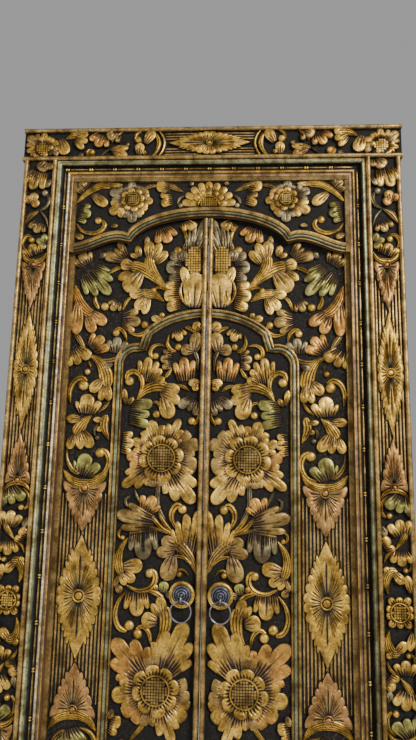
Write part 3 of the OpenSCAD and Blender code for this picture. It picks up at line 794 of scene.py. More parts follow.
distance_node.operation = "LENGTH"
turned.links.new(facing.outputs[0], distance_node.inputs[0])
away = sums(turned, "DIVIDE", distance_node.outputs["Value"], turned_in.outputs["Rim"])
wave = sums(turned, "SINE", sums(turned, "MULTIPLY", away, 2 * math.pi / RING_PITCH))
turned.links.new(ranged(turned, wave, -0.7, 0.2), turned_out.inputs["Groove"])
turned.links.new(ranged(turned, away, 0.99, 1.02), turned_out.inputs["Outside"])
turned.links.new(wave, turned_out.inputs["Height"])
print("group", turned.name)

# %% [markdown]
# ## Materials
#
# On the real door one hand gilded everything, then each motif wore and darkened in its own way.
# A material for each motif would need dozens of slots. One material that reads its paint and gilt
# from the mesh, with the painted shade that both hold near the bases of motifs, needs one slot a
# board. Plain CAD pieces, such as the meeting strips, use the same gilding with one colour.
# Timber, iron and brass each have their own values in a shared group.

# %% Gilding, timber and metal
SPECULAR = 0.22  # old gilding and waxed timber reflect little
DARK_TIMBER, LIGHT_TIMBER = (0.045, 0.024, 0.012, 1.0), (0.15, 0.085, 0.04, 1.0)


def blank(name, rough=0.6, metal=0.0, bump=0.15, distance=0.0006):
    """A material with a Principled shader and a Bump node in front of its normal."""
    material = bpy.data.materials.new(name)
    material.use_nodes = True
    tree = material.node_tree
    shader = tree.nodes["Principled BSDF"]
    shader.inputs["Roughness"].default_value = rough
    shader.inputs["Metallic"].default_value = metal
    shader.inputs["Specular IOR Level"].default_value = SPECULAR
    raised = tree.nodes.new("ShaderNodeBump")
    raised.inputs["Strength"].default_value = bump
    raised.inputs["Distance"].default_value = distance
    tree.links.new(raised.outputs["Normal"], shader.inputs["Normal"])
    return material, tree, shader, raised


def use_group(tree, group, **values):
    """Places a group in a material with its own values."""
    node = tree.nodes.new("ShaderNodeGroup")
    node.node_tree = group
    for title, value in values.items():
        node.inputs[title].default_value = value
    return node


def wire(tree, node, shader, raised, *titles):
    """Joins a group's outputs to the sockets they are for."""
    sockets = {"Color": shader.inputs["Base Color"], "Roughness": shader.inputs["Roughness"],
               "Metallic": shader.inputs["Metallic"], "Height": raised.inputs["Height"]}
    for title in titles:
        tree.links.new(node.outputs[title], sockets[title])


def gilded(name, paint=None, dirt=0.5):
    """Gilding whose paint comes from the mesh, or is one colour where paint is given."""
    material, tree, shader, raised = blank(name, bump=0.35)
    node = use_group(tree, gilding, Dirt=dirt)
    if paint:
        node.inputs["Paint"].default_value = (*PAINTS[paint], 1.0)
    else:
        for title, socket, output in (("paint", "Paint", "Color"), ("gilt_and_shade", "Gilt", "Fac")):
            reader = tree.nodes.new("ShaderNodeAttribute")
            reader.attribute_name = title
            tree.links.new(reader.outputs[output], node.inputs[socket])
    wire(tree, node, shader, raised, "Color", "Roughness", "Metallic", "Height")
    return material


def wooden(name, along):
    """Old brown timber. along squeezes the grain: a small number lies along the fibres."""
    material, tree, shader, raised = blank(name, bump=0.3)
    node = use_group(tree, timber, Dark=DARK_TIMBER, Light=LIGHT_TIMBER, Along=along)
    wire(tree, node, shader, raised, "Color", "Roughness", "Height")
    return material


def metal(name, clean, stain, shine=1.0):
    """Tarnished metal between a clean colour and a stain."""
    material, tree, shader, raised = blank(name, metal=shine, bump=0.2, distance=0.0003)
    node = use_group(tree, tarnish, Clean=(*clean, 1.0), Stain=(*stain, 1.0))
    wire(tree, node, shader, raised, "Color", "Roughness", "Height")
    return material


carved_gold = gilded("carved_gold")
border_gold = gilded("border_gold", dirt=0.75)
strip_gold = gilded("strip_gold", "pale", dirt=0.9)
upright_timber = wooden("upright_timber", (34, 34, 2))
cross_timber = wooden("cross_timber", (2, 34, 34))
pivot_iron = metal("pivot_iron", (0.20, 0.20, 0.21), (0.06, 0.05, 0.045))
socket_brass = metal("socket_brass", (0.62, 0.44, 0.17), (0.20, 0.13, 0.05))
ring_iron = metal("ring_iron", (0.36, 0.34, 0.34), (0.12, 0.10, 0.09), 0.9)
print("materials", len(bpy.data.materials))

# %% Turned handle plates
DOME_SHARE = 0.74  # radius of the dark dome as a share of the plate's


def turned_plate(name, centre, rim):
    """Gilt rim and a dark turned dome, told apart by distance from the plate's centre."""
    material, tree, shader, raised = blank(name, bump=0.6, distance=0.0012)
    rings = use_group(tree, turned, Centre=centre, Rim=rim)
    dome = use_group(tree, tarnish, Clean=(0.19, 0.21, 0.28, 1),
                     Stain=(0.05, 0.05, 0.06, 1))
    worn = use_group(tree, gilding, Gilt=0.62, Dirt=0.6)
    worn.inputs["Paint"].default_value = (*PAINTS["gold"], 1)
    grooved = mixed(tree, rings.outputs["Groove"], (0.015, 0.015, 0.02),
                    dome.outputs["Color"])
    tree.links.new(mixed(tree, rings.outputs["Outside"], grooved, worn.outputs["Color"]),
                   shader.inputs["Base Color"])
    tree.links.new(dome.outputs["Roughness"], shader.inputs["Roughness"])
    shader.inputs["Metallic"].default_value = 0.7
    tree.links.new(rings.outputs["Height"], raised.inputs["Height"])
    return material


plate_low, plate_high = box_mm("right_handle_plate")
plate_middle = (plate_low + plate_high) / 2 * MM
dome_rim = DOME_SHARE * (plate_high[0] - plate_low[0]) / 2 * MM
right_plate = turned_plate("right_turned_plate", plate_middle, dome_rim)
left_plate = turned_plate("left_turned_plate", plate_middle * (-1, 1, 1), dome_rim)
print("dome radius", round(dome_rim / MM, 2), "mm")

# %% Finish of the CAD pieces that stay in view
FINISH = [
    (("left_post", "right_post", "frame_pegs"), upright_timber),
    (("head_beam", "sill_beam"), cross_timber),
    (("left_meeting_strip", "right_meeting_strip"), strip_gold),
    (("left_top_pivot", "left_bottom_pivot", "right_top_pivot", "right_bottom_pivot"), pivot_iron),
    (("left_top_socket", "left_bottom_socket", "right_top_socket", "right_bottom_socket"),
     socket_brass),
    (("left_handle_plate",), left_plate),
    (("right_handle_plate",), right_plate),
    (("left_ring_eye", "right_ring_eye", "left_pull_ring", "right_pull_ring",
      "left_eye_washer", "right_eye_washer"), ring_iron),
]
for names, material in FINISH:
    for name in names:
        slots = nodes[name].data.materials
        slots.clear()
        slots.append(material)
print("finished", sum(len(names) for names, _ in FINISH), "CAD pieces")

# %% [markdown]
# ## Blocks and strips of the boards
#
# Under the relief each board is plain joinery: a plank planed down to the ground, with rounded
# fillets left standing along its edges. A bevelled cube would do for a plank, but a moulding
# needs its own section. So there are two tools: a block between two corners, and a bar that
# carries any section from end to end. Both go into the same mesh as the relief, because on the
# real door they are one piece of timber.

# %% Plain joinery


def block(carving, low, high, paint="black", gilt_and_shade=0.0):
    """A rectangular block between two corners, in the door's frame."""
    x, y, z = zip(low, high)
    points = [(x[i], y[j], z[k]) for i in (0, 1) for j in (0, 1) for k in (0, 1)]
    faces = [[0, 1, 3, 2], [4, 6, 7, 5], [0, 4, 5, 1], [2, 3, 7, 6], [0, 2, 6, 4], [1, 5, 7, 3]]
    carving.add(points, faces, paint, gilt_and_shade)


def bar(carving, profile, start, end, lying, paints, gilts):
    """Carries a closed profile of (across, y) from start to end, which mitre each point."""
    points, faces, n = [], [], len(profile)
    for end_at in (start, end):
        for v, y in profile:
            across, along = end_at(v)
            points.append((along, y, across) if lying else (across, y, along))
    for i in range(n):
        j = (i + 1) % n
        faces.append([i, j, n + j, n + i])
    faces += [list(range(n)), list(range(n, 2 * n))]
    colour = np.array([PAINTS[p] for p in paints] * 2)
    carving.add(points, faces, colour, np.array(list(gilts) * 2, float))


def half_round(middle, radius, base, top, steps=8):
    """Points of a rounded edge standing towards the viewer, from one side to the other."""
    turn = np.linspace(0, np.pi, steps + 1)
    return [(middle - radius * math.cos(t), base - (base - top) * math.sin(t)) for t in turn]


def fillet(carving, low, high, start, end, front, back, lying):
    """A rounded strip along a board, from low to high across it."""
    top = half_round((low + high) / 2, (high - low) / 2, front + (high - low) / 2, front)
    profile = [(low, back)] + top + [(high, back)]
    bar(carving, profile, lambda v: (v, start), lambda v: (v, end), lying,
        ["pale"] * len(profile), [0.1] + [0.25] + [1.0] * (len(top) - 2) + [0.25] + [0.1])


print("joinery: block, bar, half_round, fillet")

# %% [markdown]
# ## The vine on a leaf
#
# A carver pricks the vine through from one drawing, turned over for the other leaf. So it is
# drawn once here too, as distances out from the middle of the door and heights above the
# floor, and mirrored. It is cut into fields, so that a field can be repeated lower down:
# spandrel, arch, flower, and the knot between the flowers. Each motif gets the place that it
# has on the door, because an even pattern made by a loop would look printed.

# %% Spandrel above the arched panel
BUD_MIDDLE, BUD_HALF = (32, 1874), (22, 35)


def spandrel(c):
    """The field over the arch, with a hatched bud in its cup beside the meeting edge."""
    leaf(c, (112, 1957), (98, 1922), 40, (0.85, 1, 0.9), "orange")
    scroll(c, [(70, 1963), (57, 1945), (52, 1922), (60, 1903)], 9, (73, 1900), 9)
    leaf(c, (58, 1974), (42, 1950), 24, (1, 0.8), "gold")
    leaf(c, (38, 1886), (17, 1972), 34, (0.5, 0.66, 0.82, 1, 0.84, 0.7), "stone", spread=34)
    petal(c, (32, 1836), (32, 1912), 46, "black", rise=0.6, veins=0)

    def in_bud(a, z):
        over, up = (a - BUD_MIDDLE[0]) / BUD_HALF[0], (z - BUD_MIDDLE[1]) / BUD_HALF[1]
        return up**2 + over**2 < 1 and a > 14

    hatch(c, in_bud, (14, 1838), (54, 1912), 6.2, lambda a, z: c.relief * 0.78, "gold")
    petal(c, (31, 1758), (28, 1840), 50, "bright")
    petal(c, (46, 1806), (60, 1856), 19, "bright")
    petal(c, (44, 1812), (46, 1766), 17, "gold")
    stem(c, [(57, 1830), (65, 1802), (60, 1780), (46, 1762)], (4, 8, 3), "bright")
    leaf(c, (65, 1858), (97, 1860), 66, (0.85, 1, 0.9), "stone", spread=34)
    leaf(c, (66, 1788), (100, 1784), 62, (0.95, 1, 0.9), "bright", spread=34)
    petal(c, (60, 1872), (62, 1900), 20, "stone")
    branch(c, [(92, 1802), (116, 1826), (138, 1856), (142, 1890)], (5, 14, 22, 18),
           [((142, 1880), (143, 1922), 26), ((134, 1878), (116, 1916), 22),
            ((126, 1866), (100, 1896), 23)], "gold", 3)
    branch(c, [(94, 1801), (128, 1834), (162, 1856), (190, 1862)], (5, 16, 24, 20),
           [((180, 1860), (209, 1867), 30), ((160, 1846), (194, 1799), 44),
            ((186, 1848), (213, 1827), 20)], "gold", 3)
    scroll(c, [(98, 1799), (113, 1808), (124, 1806)], 6, (129, 1800), 6.5)
    branch(c, [(102, 1773), (128, 1790), (162, 1795)], (4, 16, 18),
           [((152, 1796), (184, 1789), 26), ((148, 1784), (168, 1754), 25),
            ((138, 1782), (150, 1743), 20)], "bright", 3)
    stem(c, [(180, 1785), (192, 1774), (201, 1752)], (6, 9, 5))
    leaf(c, (286, 1847), (238, 1793), 66, (0.5, 0.75, 1, 0.78, 0.62), "green", spread=46)
    leaf(c, (294, 1864), (312, 1892), 38, (0.9, 1, 0.8), "brown")
    leaf(c, (203, 1880), (236, 1906), 34, (1, 0.75, 0.9), "brown")
    petal(c, (165, 1884), (172, 1910), 15, "gold")
    petal(c, (170, 1882), (187, 1890), 11, "gold")
    stem(c, [(240, 1842), (222, 1854), (204, 1858)], (7, 10, 7), "gold", 1)
    scroll(c, [(268, 1790), (268, 1772), (259, 1755)], 9, (244, 1760), 9)
    leaf(c, (212, 1774), (226, 1752), 24, (0.8, 1, 0.8), "brown")
    petal(c, (262, 1880), (250, 1893), 12, "stone")
    petal(c, (150, 1908), (148, 1934), 12, "brown")


print("field: spandrel")

# %% Run outside the panel's shoulder


def shoulder_run(c):
    """The run outside the panel's shoulder, down to the crescent."""
    branch(c, [(318, 1812), (309, 1778), (292, 1752), (268, 1738)], (6, 17, 22, 16),
           [((309, 1772), (309, 1694), 31), ((276, 1746), (240, 1718), 27),
            ((286, 1736), (268, 1698), 26)], "orange", 3)
    stem(c, [(312, 1694), (300, 1678), (286, 1656)], (12, 12, 6), "brown", 2)
    leaf(c, (270, 1656), (243, 1682), 38, (0.85, 1, 0.95), "orange")
    leaf(c, (212, 1648), (208, 1682), 32, (0.85, 1, 0.9), "stone")
    stem(c, [(196, 1662), (206, 1638), (230, 1629), (262, 1633)], (4, 11, 6), "brown", 1)
    scroll(c, [(188, 1676), (194, 1696), (207, 1706), (219, 1701)], 8, (214, 1696), 8)
    leaf(c, (200, 1728), (160, 1724), 38, (0.9, 1, 0.85), "brown")
    scroll(c, [(184, 1697), (160, 1691), (142, 1700), (137, 1713)], 9, (147, 1716), 8)
    petal(c, (106, 1727), (130, 1733), 15, "gold")
    petal(c, (110, 1732), (104, 1744), 11, "gold")
    leaf(c, (313, 1655), (292, 1622), 42, (1, 0.9, 0.85), "gold")
    branch(c, [(280, 1644), (254, 1630), (236, 1602), (229, 1566)], (4, 15, 26, 22),
           [((228, 1574), (224, 1536), 20), ((236, 1570), (243, 1536), 18),
            ((242, 1584), (266, 1556), 26)], "gold", 3)
    scroll(c, [(276, 1628), (270, 1614)], 5, (277, 1602), 6.5)
    petal(c, (218, 1622), (238, 1612), 12, "stone")
    scroll(c, [(314, 1528), (316, 1558), (307, 1580), (290, 1588), (278, 1580)], 10,
           (285, 1570), 11)
    leaf(c, (274, 1504), (270, 1546), 44, (0.7, 1, 0.8), "bright")
    stem(c, [(222, 1536), (232, 1520), (247, 1508)], (5, 7, 4))
    petal(c, (286, 1492), (319, 1492), 18, "gold")
    branch(c, [(228, 1502), (232, 1475), (219, 1445)], (14, 16, 4),
           [((232, 1490), (256, 1491), 13), ((232, 1474), (247, 1466), 13)], "gold", 1)
    branch(c, [(262, 1500), (280, 1484), (298, 1456)], (4, 20, 24),
           [((301, 1456), (310, 1424), 22), ((290, 1462), (283, 1424), 20),
            ((280, 1464), (258, 1428), 26)], "gold", 3)
    scroll(c, [(246, 1482), (254, 1467), (252, 1454)], 6, (246, 1449), 5.5, "stone")
    scroll(c, [(252, 1360), (229, 1369), (217, 1392), (222, 1414), (236, 1424)], 10,
           (239, 1415), 10)
    stem(c, [(315, 1424), (313, 1400), (301, 1378), (284, 1367)], (3, 9, 11), "brown", 1)
    leaf(c, (276, 1364), (262, 1407), 44, (0.65, 1, 0.85), "green")


print("field: shoulder_run")

# %% [markdown]
# The middle of each side strip holds a lozenge between two crescents, with thin upright flutes
# behind it. The lozenge, its two half flowers and the crescents all share one centre line. The
# lozenge could be a stretched circle with petals cut in, but its tips would come out blunt, so
# its outline is a power curve that runs straight into each tip.

# %% Side strip with its lozenge
STRIP_LINE = 269  # middle of a side strip, out from the middle of the door
FLUTE_WIDTH = 5.0
LOZENGE_MIDDLE, LOZENGE_HALF_UP, LOZENGE_HALF = 1105, 132, 52
BUD_LENGTH, BOSS = 101, 14


def crescent(c, middle, apex, half, depth, way, band, grooves):
    """A grooved band bowed up (way 1) or down (way -1)."""
    t = np.linspace(-1, 1, 7)
    line = [(middle + half * s, apex - way * depth * (s * s * (0.55 + 0.45 * s * s))) for s in t]
    widths = [band * share for share in (0.3, 0.8, 1.0, 0.8, 0.3)]
    stem(c, line, widths, "gold", grooves, 0.9)


def flutes(c, places, low, high):
    """Thin straight ridges standing behind a lozenge."""
    for a in places:
        stem(c, [(a, low), (a, (low + high) / 2), (a, high)], [FLUTE_WIDTH] * 3, "pale", 0,
             0.36, step=60)


def strip_lozenge(c):
    """Flutes, a lozenge, two half flowers and two crescents, one above another."""
    reach = LOZENGE_HALF_UP + BUD_LENGTH
    flutes(c, np.linspace(220.5, 317.5, 13), LOZENGE_MIDDLE - reach + 14,
           LOZENGE_MIDDLE + reach - 14)
    lozenge(c, (STRIP_LINE, LOZENGE_MIDDLE), LOZENGE_HALF, LOZENGE_HALF_UP, BOSS)
    for way in (1, -1):
        edge = LOZENGE_MIDDLE + way * reach
        half_bud(c, (STRIP_LINE, edge - way * 2), -way, LOZENGE_HALF, BUD_LENGTH - 4,
                 BOSS * 0.85, "rust")
    crescent(c, STRIP_LINE, 1345, 51, 30, -1, 20, 3)
    crescent(c, STRIP_LINE, 866, 51, 30, 1, 20, 3)


print("side strip: crescents, half flowers, lozenge, flutes")

# %% [markdown]
# The arched panel is filled by one climbing vine. Its fields are the top under the arch, the
# leaves round a flower, and the knot of scrolls between two flowers, where the handle sits.
# The petals of a flower lie on the ones behind them, as the carver leaves them, so the outer
# petals are cut first and the ring, the disc and its studs come over them.

# %% Top of the arched panel


def arch_field(c):
    """Leaves and scrolls between the arch and the first flower."""
    petal(c, (28, 1652), (20, 1696), 28, "brown")
    petal(c, (30, 1654), (58, 1658), 24, "brown")
    stem(c, [(19, 1606), (20, 1635), (29, 1656)], (3, 9, 11), "stone", 1)
    leaf(c, (70, 1704), (60, 1680), 26, (0.8, 1, 0.7), "gold")
    scroll(c, [(88, 1693), (92, 1672), (83, 1656), (71, 1653)], 8, (66, 1663), 7.5)
    stem(c, [(50, 1711), (34, 1705), (23, 1693)], (9, 9, 4), "gold", 1)
    petal(c, (13, 1702), (30, 1720), 20, "gold")
    scroll(c, [(95, 1665), (114, 1668), (128, 1660), (131, 1645), (124, 1635)], 8, (118, 1641), 7)
    leaf(c, (80, 1633), (104, 1633), 42, (0.9, 1, 0.85), "brown", spread=24)
    stem(c, [(80, 1612), (87, 1600), (98, 1587)], (8, 9, 4), "gold", 1)
    leaf(c, (140, 1580), (133, 1633), 34, (0.85, 1, 0.9), "gold", spread=26)
    petal(c, (124, 1586), (104, 1609), 15, "bright")
    petal(c, (120, 1578), (96, 1588), 17, "gold")
    scroll(c, [(157, 1543), (147, 1568), (150, 1591), (165, 1604), (181, 1600), (186, 1586)], 10,
           (177, 1581), 9.5, "gold")
    leaf(c, (46, 1583), (52, 1634), 38, (0.85, 1, 0.85), "orange", spread=26)
    petal(c, (13, 1582), (38, 1577), 16, "bright")
    petal(c, (18, 1577), (27, 1561), 14, "gold")
    branch(c, [(158, 1538), (140, 1560), (112, 1571), (88, 1568)], (6, 18, 22),
           [((98, 1570), (61, 1560), 26), ((104, 1556), (60, 1535), 27),
            ((98, 1546), (80, 1498), 36)], "gold", 2)
    scroll(c, [(128, 1530), (112, 1533), (102, 1522), (104, 1508)], 7, (112, 1505), 8)
    stem(c, [(64, 1573), (50, 1569), (38, 1560)], (9, 8, 4), "gold", 1)
    leaf(c, (25, 1541), (44, 1512), 36, (0.9, 0.8, 1), "stone")
    petal(c, (183, 1528), (189, 1562), 12, "gold")
    petal(c, (178, 1526), (167, 1543), 11, "gold")
    leaf(c, (172, 1510), (126, 1506), 54, (1, 0.9, 0.95), "green", spread=24)
    scroll(c, [(14, 1520), (15, 1497), (25, 1482)], 6, (30, 1491), 8)


print("field: arch_field")

# %% First flower
FIRST_FLOWER = (97, 1406)


def first_flower(c):
    """The upper flower with its outer petals and its stalk."""
    leaf(c, (188, 1440), (163, 1438), 46, (0.9, 1, 0.9), "bright", spread=24)
    corolla(c, FIRST_FLOWER, 45, (
        (71, 46, 90, ROUND, "gold"), (114, 50, 99, POINTED, "gold"), (31, 38, 80, ROUND, "gold"),
        (-5, 34, 80, BROAD, "orange"), (-37, 52, 110, POINTED, "gold"),
        (-128, 62, 126, POINTED, "bright"), (180, 46, 84, BROAD, "brown"),
        (148, 36, 94, BROAD, "brown"), (-80, 50, 68, BROAD, "brown")))
    flower(c, FIRST_FLOWER, 30, 55)
    stem(c, [(101, 1352), (103, 1325), (101, 1298), (84, 1266)], (10, 10, 8), "stone", 2)
    leaf(c, (128, 1288), (112, 1319), 36, (0.85, 1, 0.8), "orange")
    stem(c, [(158, 1290), (172, 1301), (174, 1314), (164, 1321)], (4, 7, 5), "stone", 1)
    scroll(c, [(60, 1252), (70, 1275), (68, 1292), (58, 1303), (48, 1300)], 11, (46, 1294), 9)
    stem(c, [(156, 1336), (148, 1318), (139, 1302)], (6, 6, 4), "stone", 1)


print("flower at", FIRST_FLOWER)

# %% Knot of scrolls round the handle


def knot(c):
    """Leaves and scrolls between two flowers, left open where the handle plate sits."""
    leaf(c, (110, 1262), (187, 1275), 34, (0.62, 0.84, 1, 0.8), "brown", spread=38)
    petal(c, (146, 1280), (153, 1298), 15, "brown")
    stem(c, [(60, 1238), (84, 1262), (99, 1286)], (5, 9, 8), "gold", 1)
    stem(c, [(58, 1236), (90, 1252), (113, 1276)], (5, 9, 8), "gold", 1)
    stem(c, [(66, 1238), (98, 1249), (130, 1257)], (4, 7, 3), "brown", 1)
    leaf(c, (31, 1198), (27, 1288), 56, (0.6, 0.74, 0.88, 1, 0.9), "gold", spread=46)
    scroll(c, [(170, 1252), (183, 1247), (187, 1236), (181, 1226)], 5, (177, 1230), 5)
    leaf(c, (132, 1250), (130, 1190), 58, (0.72, 1, 0.72), "stone", spread=14, slits=13)
    branch(c, [(11, 1157), (25, 1190), (50, 1216), (74, 1226)], (6, 17, 26),
           [((56, 1216), (89, 1228), 28), ((60, 1206), (99, 1200), 26),
            ((64, 1196), (78, 1144), 38)], "brown", 2)
    stem(c, [(15, 1168), (38, 1190), (62, 1194)], (4, 8, 8), "gold", 1)
    scroll(c, [(30, 1154), (38, 1164), (49, 1165), (56, 1158)], 5, (49, 1155), 6)
    branch(c, [(165, 1230), (180, 1208), (185, 1180), (178, 1152)], (5, 13, 17),
           [((174, 1168), (132, 1173), 32), ((170, 1156), (148, 1139), 22),
            ((178, 1156), (168, 1131), 17)], "gold", 2)
    scroll(c, [(166, 1130), (140, 1119), (115, 1124), (102, 1140), (104, 1157), (114, 1163)],
           10, (115, 1156), 8.5, "gold")
    petal(c, (85, 1117), (80, 1139), 19, "green")
    petal(c, (95, 1121), (103, 1133), 9, "gold")
    petal(c, (78, 1116), (66, 1112), 14, "stone")
    leaf(c, (141, 1116), (140, 1071), 46, (0.72, 1, 0.74), "gold", spread=24)
    scroll(c, [(166, 1117), (182, 1093), (187, 1066), (178, 1042), (161, 1034)], 9,
           (155, 1047), 9.5, "gold")
    stem(c, [(80, 1099), (97, 1114), (122, 1121)], (11, 11, 5), "gold", 1)
    branch(c, [(96, 1006), (80, 1035), (76, 1064), (84, 1088)], (6, 20, 24),
           [((80, 1070), (91, 1106), 24), ((92, 1066), (107, 1093), 15),
            ((94, 1056), (127, 1062), 34)], "gold", 2)
    petal(c, (188, 1130), (175, 1116), 14, "brown")
    petal(c, (183, 1150), (190, 1128), 10, "brown")


print("field: knot")

# %% Second flower
SECOND_FLOWER = (94, 919)


def second_flower(c):
    """The lower flower with its outer petals and its stalk."""
    scroll(c, [(106, 1008), (112, 1034), (126, 1046), (139, 1040)], 8, (136, 1030), 9)
    corolla(c, SECOND_FLOWER, 45, (
        (46, 64, 140, POINTED, "orange"), (114, 58, 154, POINTED, "gold"),
        (80, 30, 76, BROAD, "brown"), (-8, 52, 94, ROUND, "gold"),
        (-45, 36, 84, BROAD, "orange"), (180, 46, 76, BROAD, "brown"),
        (-149, 34, 86, BROAD, "gold"), (-112, 52, 110, POINTED, "bright"),
        (-78, 30, 74, BROAD, "brown")))
    flower(c, SECOND_FLOWER, 29.5, 54)
    stem(c, [(112, 866), (122, 845), (146, 818)], (9, 9, 6), "gold", 2)
    leaf(c, (188, 850), (167, 846), 34, (1, 0.85), "gold", spread=26)
    petal(c, (182, 880), (190, 862), 12, "brown")


print("flower at", SECOND_FLOWER)

# %% [markdown]
# ## The leaves of the door
#
# A leaf is a plank with a round hanging edge, planed down to its ground, with a strip left
# standing all round. Round the arched panel runs a band in three stripes: gold, pale green and
# gold. It could be three thin tubes, but their joins would show, so one painted profile is
# carried along the band's middle line. The lower part repeats the upper fields, turned over or
# moved down by one flower.

# %% Shape of the panel's band
FLOWER_STEP = 484.0
BAND = 22.0
PANEL_HALF, PANEL_TOP, PANEL_LOW = 215.0, 1756.0, 188.0
ARCH_SPRING, ARCH_HALF, ARCH_END = 1625, 172, 138  # foot, half width, and where it is cut off
SHOULDER, SHOULDER_RADIUS, SHOULDER_TURN = (164, 1622), 40, 112


def band_line():
    """The middle of the band from its top, down the side and along the bottom."""
    inset = BAND / 2
    rise = PANEL_TOP - inset - ARCH_SPRING
    out = [(a, ARCH_SPRING + rise * math.sqrt(1 - (a / ARCH_HALF) ** 2))
           for a in np.linspace(0, ARCH_END, 14)]
    for turn in np.radians(np.linspace(SHOULDER_TURN, 0, 9)):
        out.append((SHOULDER[0] + SHOULDER_RADIUS * math.cos(turn),
                    SHOULDER[1] + SHOULDER_RADIUS * math.sin(turn)))
    for z in np.linspace(1600, PANEL_LOW + inset, 14):
        out.append((PANEL_HALF - inset, z))
    for a in np.linspace(PANEL_HALF - 40, 12, 5):
        out.append((a, PANEL_LOW + inset))
    return np.array(out)


BAND_PROFILE = [  # across the band: offset, height, gilt, paint
    (-1.0, 0.30, 0.1, "gold"), (-0.94, 0.72, 0.9, "pale"), (-0.80, 0.86, 1.0, "pale"),
    (-0.62, 0.66, 0.7, "gold"), (-0.52, 0.30, 0.0, "brown"), (-0.40, 0.42, 0.5, "verdigris"),
    (-0.20, 0.55, 0.9, "glaze"), (0.05, 0.55, 0.9, "glaze"), (0.24, 0.42, 0.5, "verdigris"),
    (0.34, 0.28, 0.0, "brown"), (0.46, 0.66, 0.8, "gold"), (0.64, 0.84, 1.0, "pale"),
    (0.82, 0.80, 1.0, "pale"), (0.95, 0.55, 0.6, "gold"), (1.0, 0.25, 0.1, "gold"),
]


def profiled(c, line, width, profile):
    """Carries a painted profile along a line."""
    n, m = len(line), len(profile)
    offsets, height, gilt_and_shade = (np.array([row[i] for row in profile]) for i in range(3))
    colour = np.array([PAINTS[row[3]] for row in profile])
    sweep(c, line, np.full(n, width / 2), offsets,
          np.broadcast_to(c.relief * height, (n, m)), np.broadcast_to(gilt_and_shade, (n, m)),
          np.broadcast_to(colour, (n, m, 3)))


print("band points", len(band_line()))

# %% Plank of a leaf
END_STRIP = 36  # strip left standing at the top and the bottom of a leaf


def plank(c, side):
    """The leaf's plank, its hanging edge and its edge strips."""
    front, back = leaf_low[1], leaf_high[1]
    edge = leaf_high[0]
    radius = (back - front) / 2
    hang = leaf_low[0] + radius
    strip = -sight_half + FILLET
    outline = [(edge, back), (edge, leaf_ground), (strip, leaf_ground), (strip, front)]
    outline += [(hang - radius * math.sin(t), (front + back) / 2 - radius * math.cos(t))
                for t in np.linspace(0, np.pi, 15)]
    n = len(outline)
    points = [(side * x * -1, y, z) for z in (leaf_low[2], leaf_high[2]) for x, y in outline]
    faces = [[i, (i + 1) % n, n + (i + 1) % n, n + i] for i in range(n)]
    faces += [list(range(n)), list(range(n, 2 * n))]
    gilt_and_shade = np.array([0.0, 0.0, 0.1, 1.0] + [0.0] * (n - 4))
    c.add(points, faces, "pale", np.concatenate([gilt_and_shade, gilt_and_shade]))
    x0, x1 = sorted([side * -edge, side * -(edge - FILLET)])
    block(c, (x0, front, leaf_low[2]), (x1, leaf_ground + 1, leaf_high[2]), "pale", 0.45)
    x0, x1 = sorted([side * -edge, side * -strip])
    for low in (leaf_low[2], leaf_high[2] - END_STRIP):
        block(c, (x0, front, low), (x1, leaf_ground + 1, low + END_STRIP), "pale", 0.6)


print("plank", [round(v, 1) for v in leaf_high - leaf_low], "mm")

# %% Carve both leaves
LOWER_TURN = 1850  # the panel's foot is the drawing turned over about half this height


def carve_leaf(name, side, seed):
    """All the fields of one leaf. side is -1 for the left one."""
    c = Carving(name, leaf_ground, LEAF_RELIEF, seed)
    plank(c, side)
    c.place(side)
    spandrel(c)
    shoulder_run(c)
    strip_lozenge(c)
    arch_field(c)
    first_flower(c)
    knot(c)
    second_flower(c)
    profiled(c, band_line(), BAND, BAND_PROFILE)
    c.place(side, z0=-FLOWER_STEP)
    knot(c)
    second_flower(c)
    leaf(c, (24, 1128), (62, 1098), 40, (0.8, 1, 0.8), "gold")
    scroll(c, [(16, 1080), (28, 1066), (48, 1072)], 8, (50, 1084), 9)
    c.place(side, up=-1, z0=2 * door_middle)
    shoulder_run(c)
    c.place(side, up=-1, z0=LOWER_TURN)
    leaf(c, (46, 1583), (52, 1634), 38, (0.85, 1, 0.85), "orange", spread=26)
    leaf(c, (140, 1580), (133, 1633), 34, (0.85, 1, 0.9), "gold", spread=26)
    leaf(c, (172, 1530), (126, 1526), 54, (1, 0.9, 0.95), "green", spread=24)
    scroll(c, [(100, 1543), (92, 1568), (96, 1590)], 9, (88, 1600), 8)
    leaf(c, (25, 1541), (44, 1512), 36, (0.9, 0.8, 1), "stone")
    return c


left_carving = carve_leaf("left_leaf_carving", -1, 11)
right_carving = carve_leaf("right_leaf_carving", 1, 12)
left_carving.mesh("left_leaf", "gilded_carving", carved_gold, upright_timber, "left_leaf")
right_carving.mesh("right_leaf", "gilded_carving", carved_gold, upright_timber, "right_leaf")

# %% [markdown]
# ## The arched valance
#
# The valance is a thin board over the tops of the leaves. Its lower edge is a round arch
# between two cusps, then a wave down to each side, and a moulded band follows that edge. The
# board could be cut out with a boolean, but the cutter and the band would then need the same
# curve twice. One function gives the height of the edge, and both the board's strip of faces
# and the band are built from it.

# %% Shape of the valance's edge
CROWN, CUSP, RISE = 2003.0, 190.0, 82.0  # top of the arch, out to the cusp, height of the arch
CUSP_WAVE = 25  # width of the small wave beside the cusp
ARCH_BAND = 23.0


def valance_edge(x):
    """Height of the top of the arch band at a distance from the middle."""
    x = abs(x)
    wave_top = CROWN - 0.73 * RISE
    if x < CUSP:
        return CROWN - RISE + RISE * math.sqrt(1 - (x / (CUSP + 5)) ** 2)
    past = x - CUSP - CUSP_WAVE
    if past < 0:
        return wave_top - 7 * (past / CUSP_WAVE) ** 2
    part = past / (sight_half - CUSP - CUSP_WAVE)
    return wave_top - 0.39 * RISE * (1 - math.cos(math.pi * part)) / 2


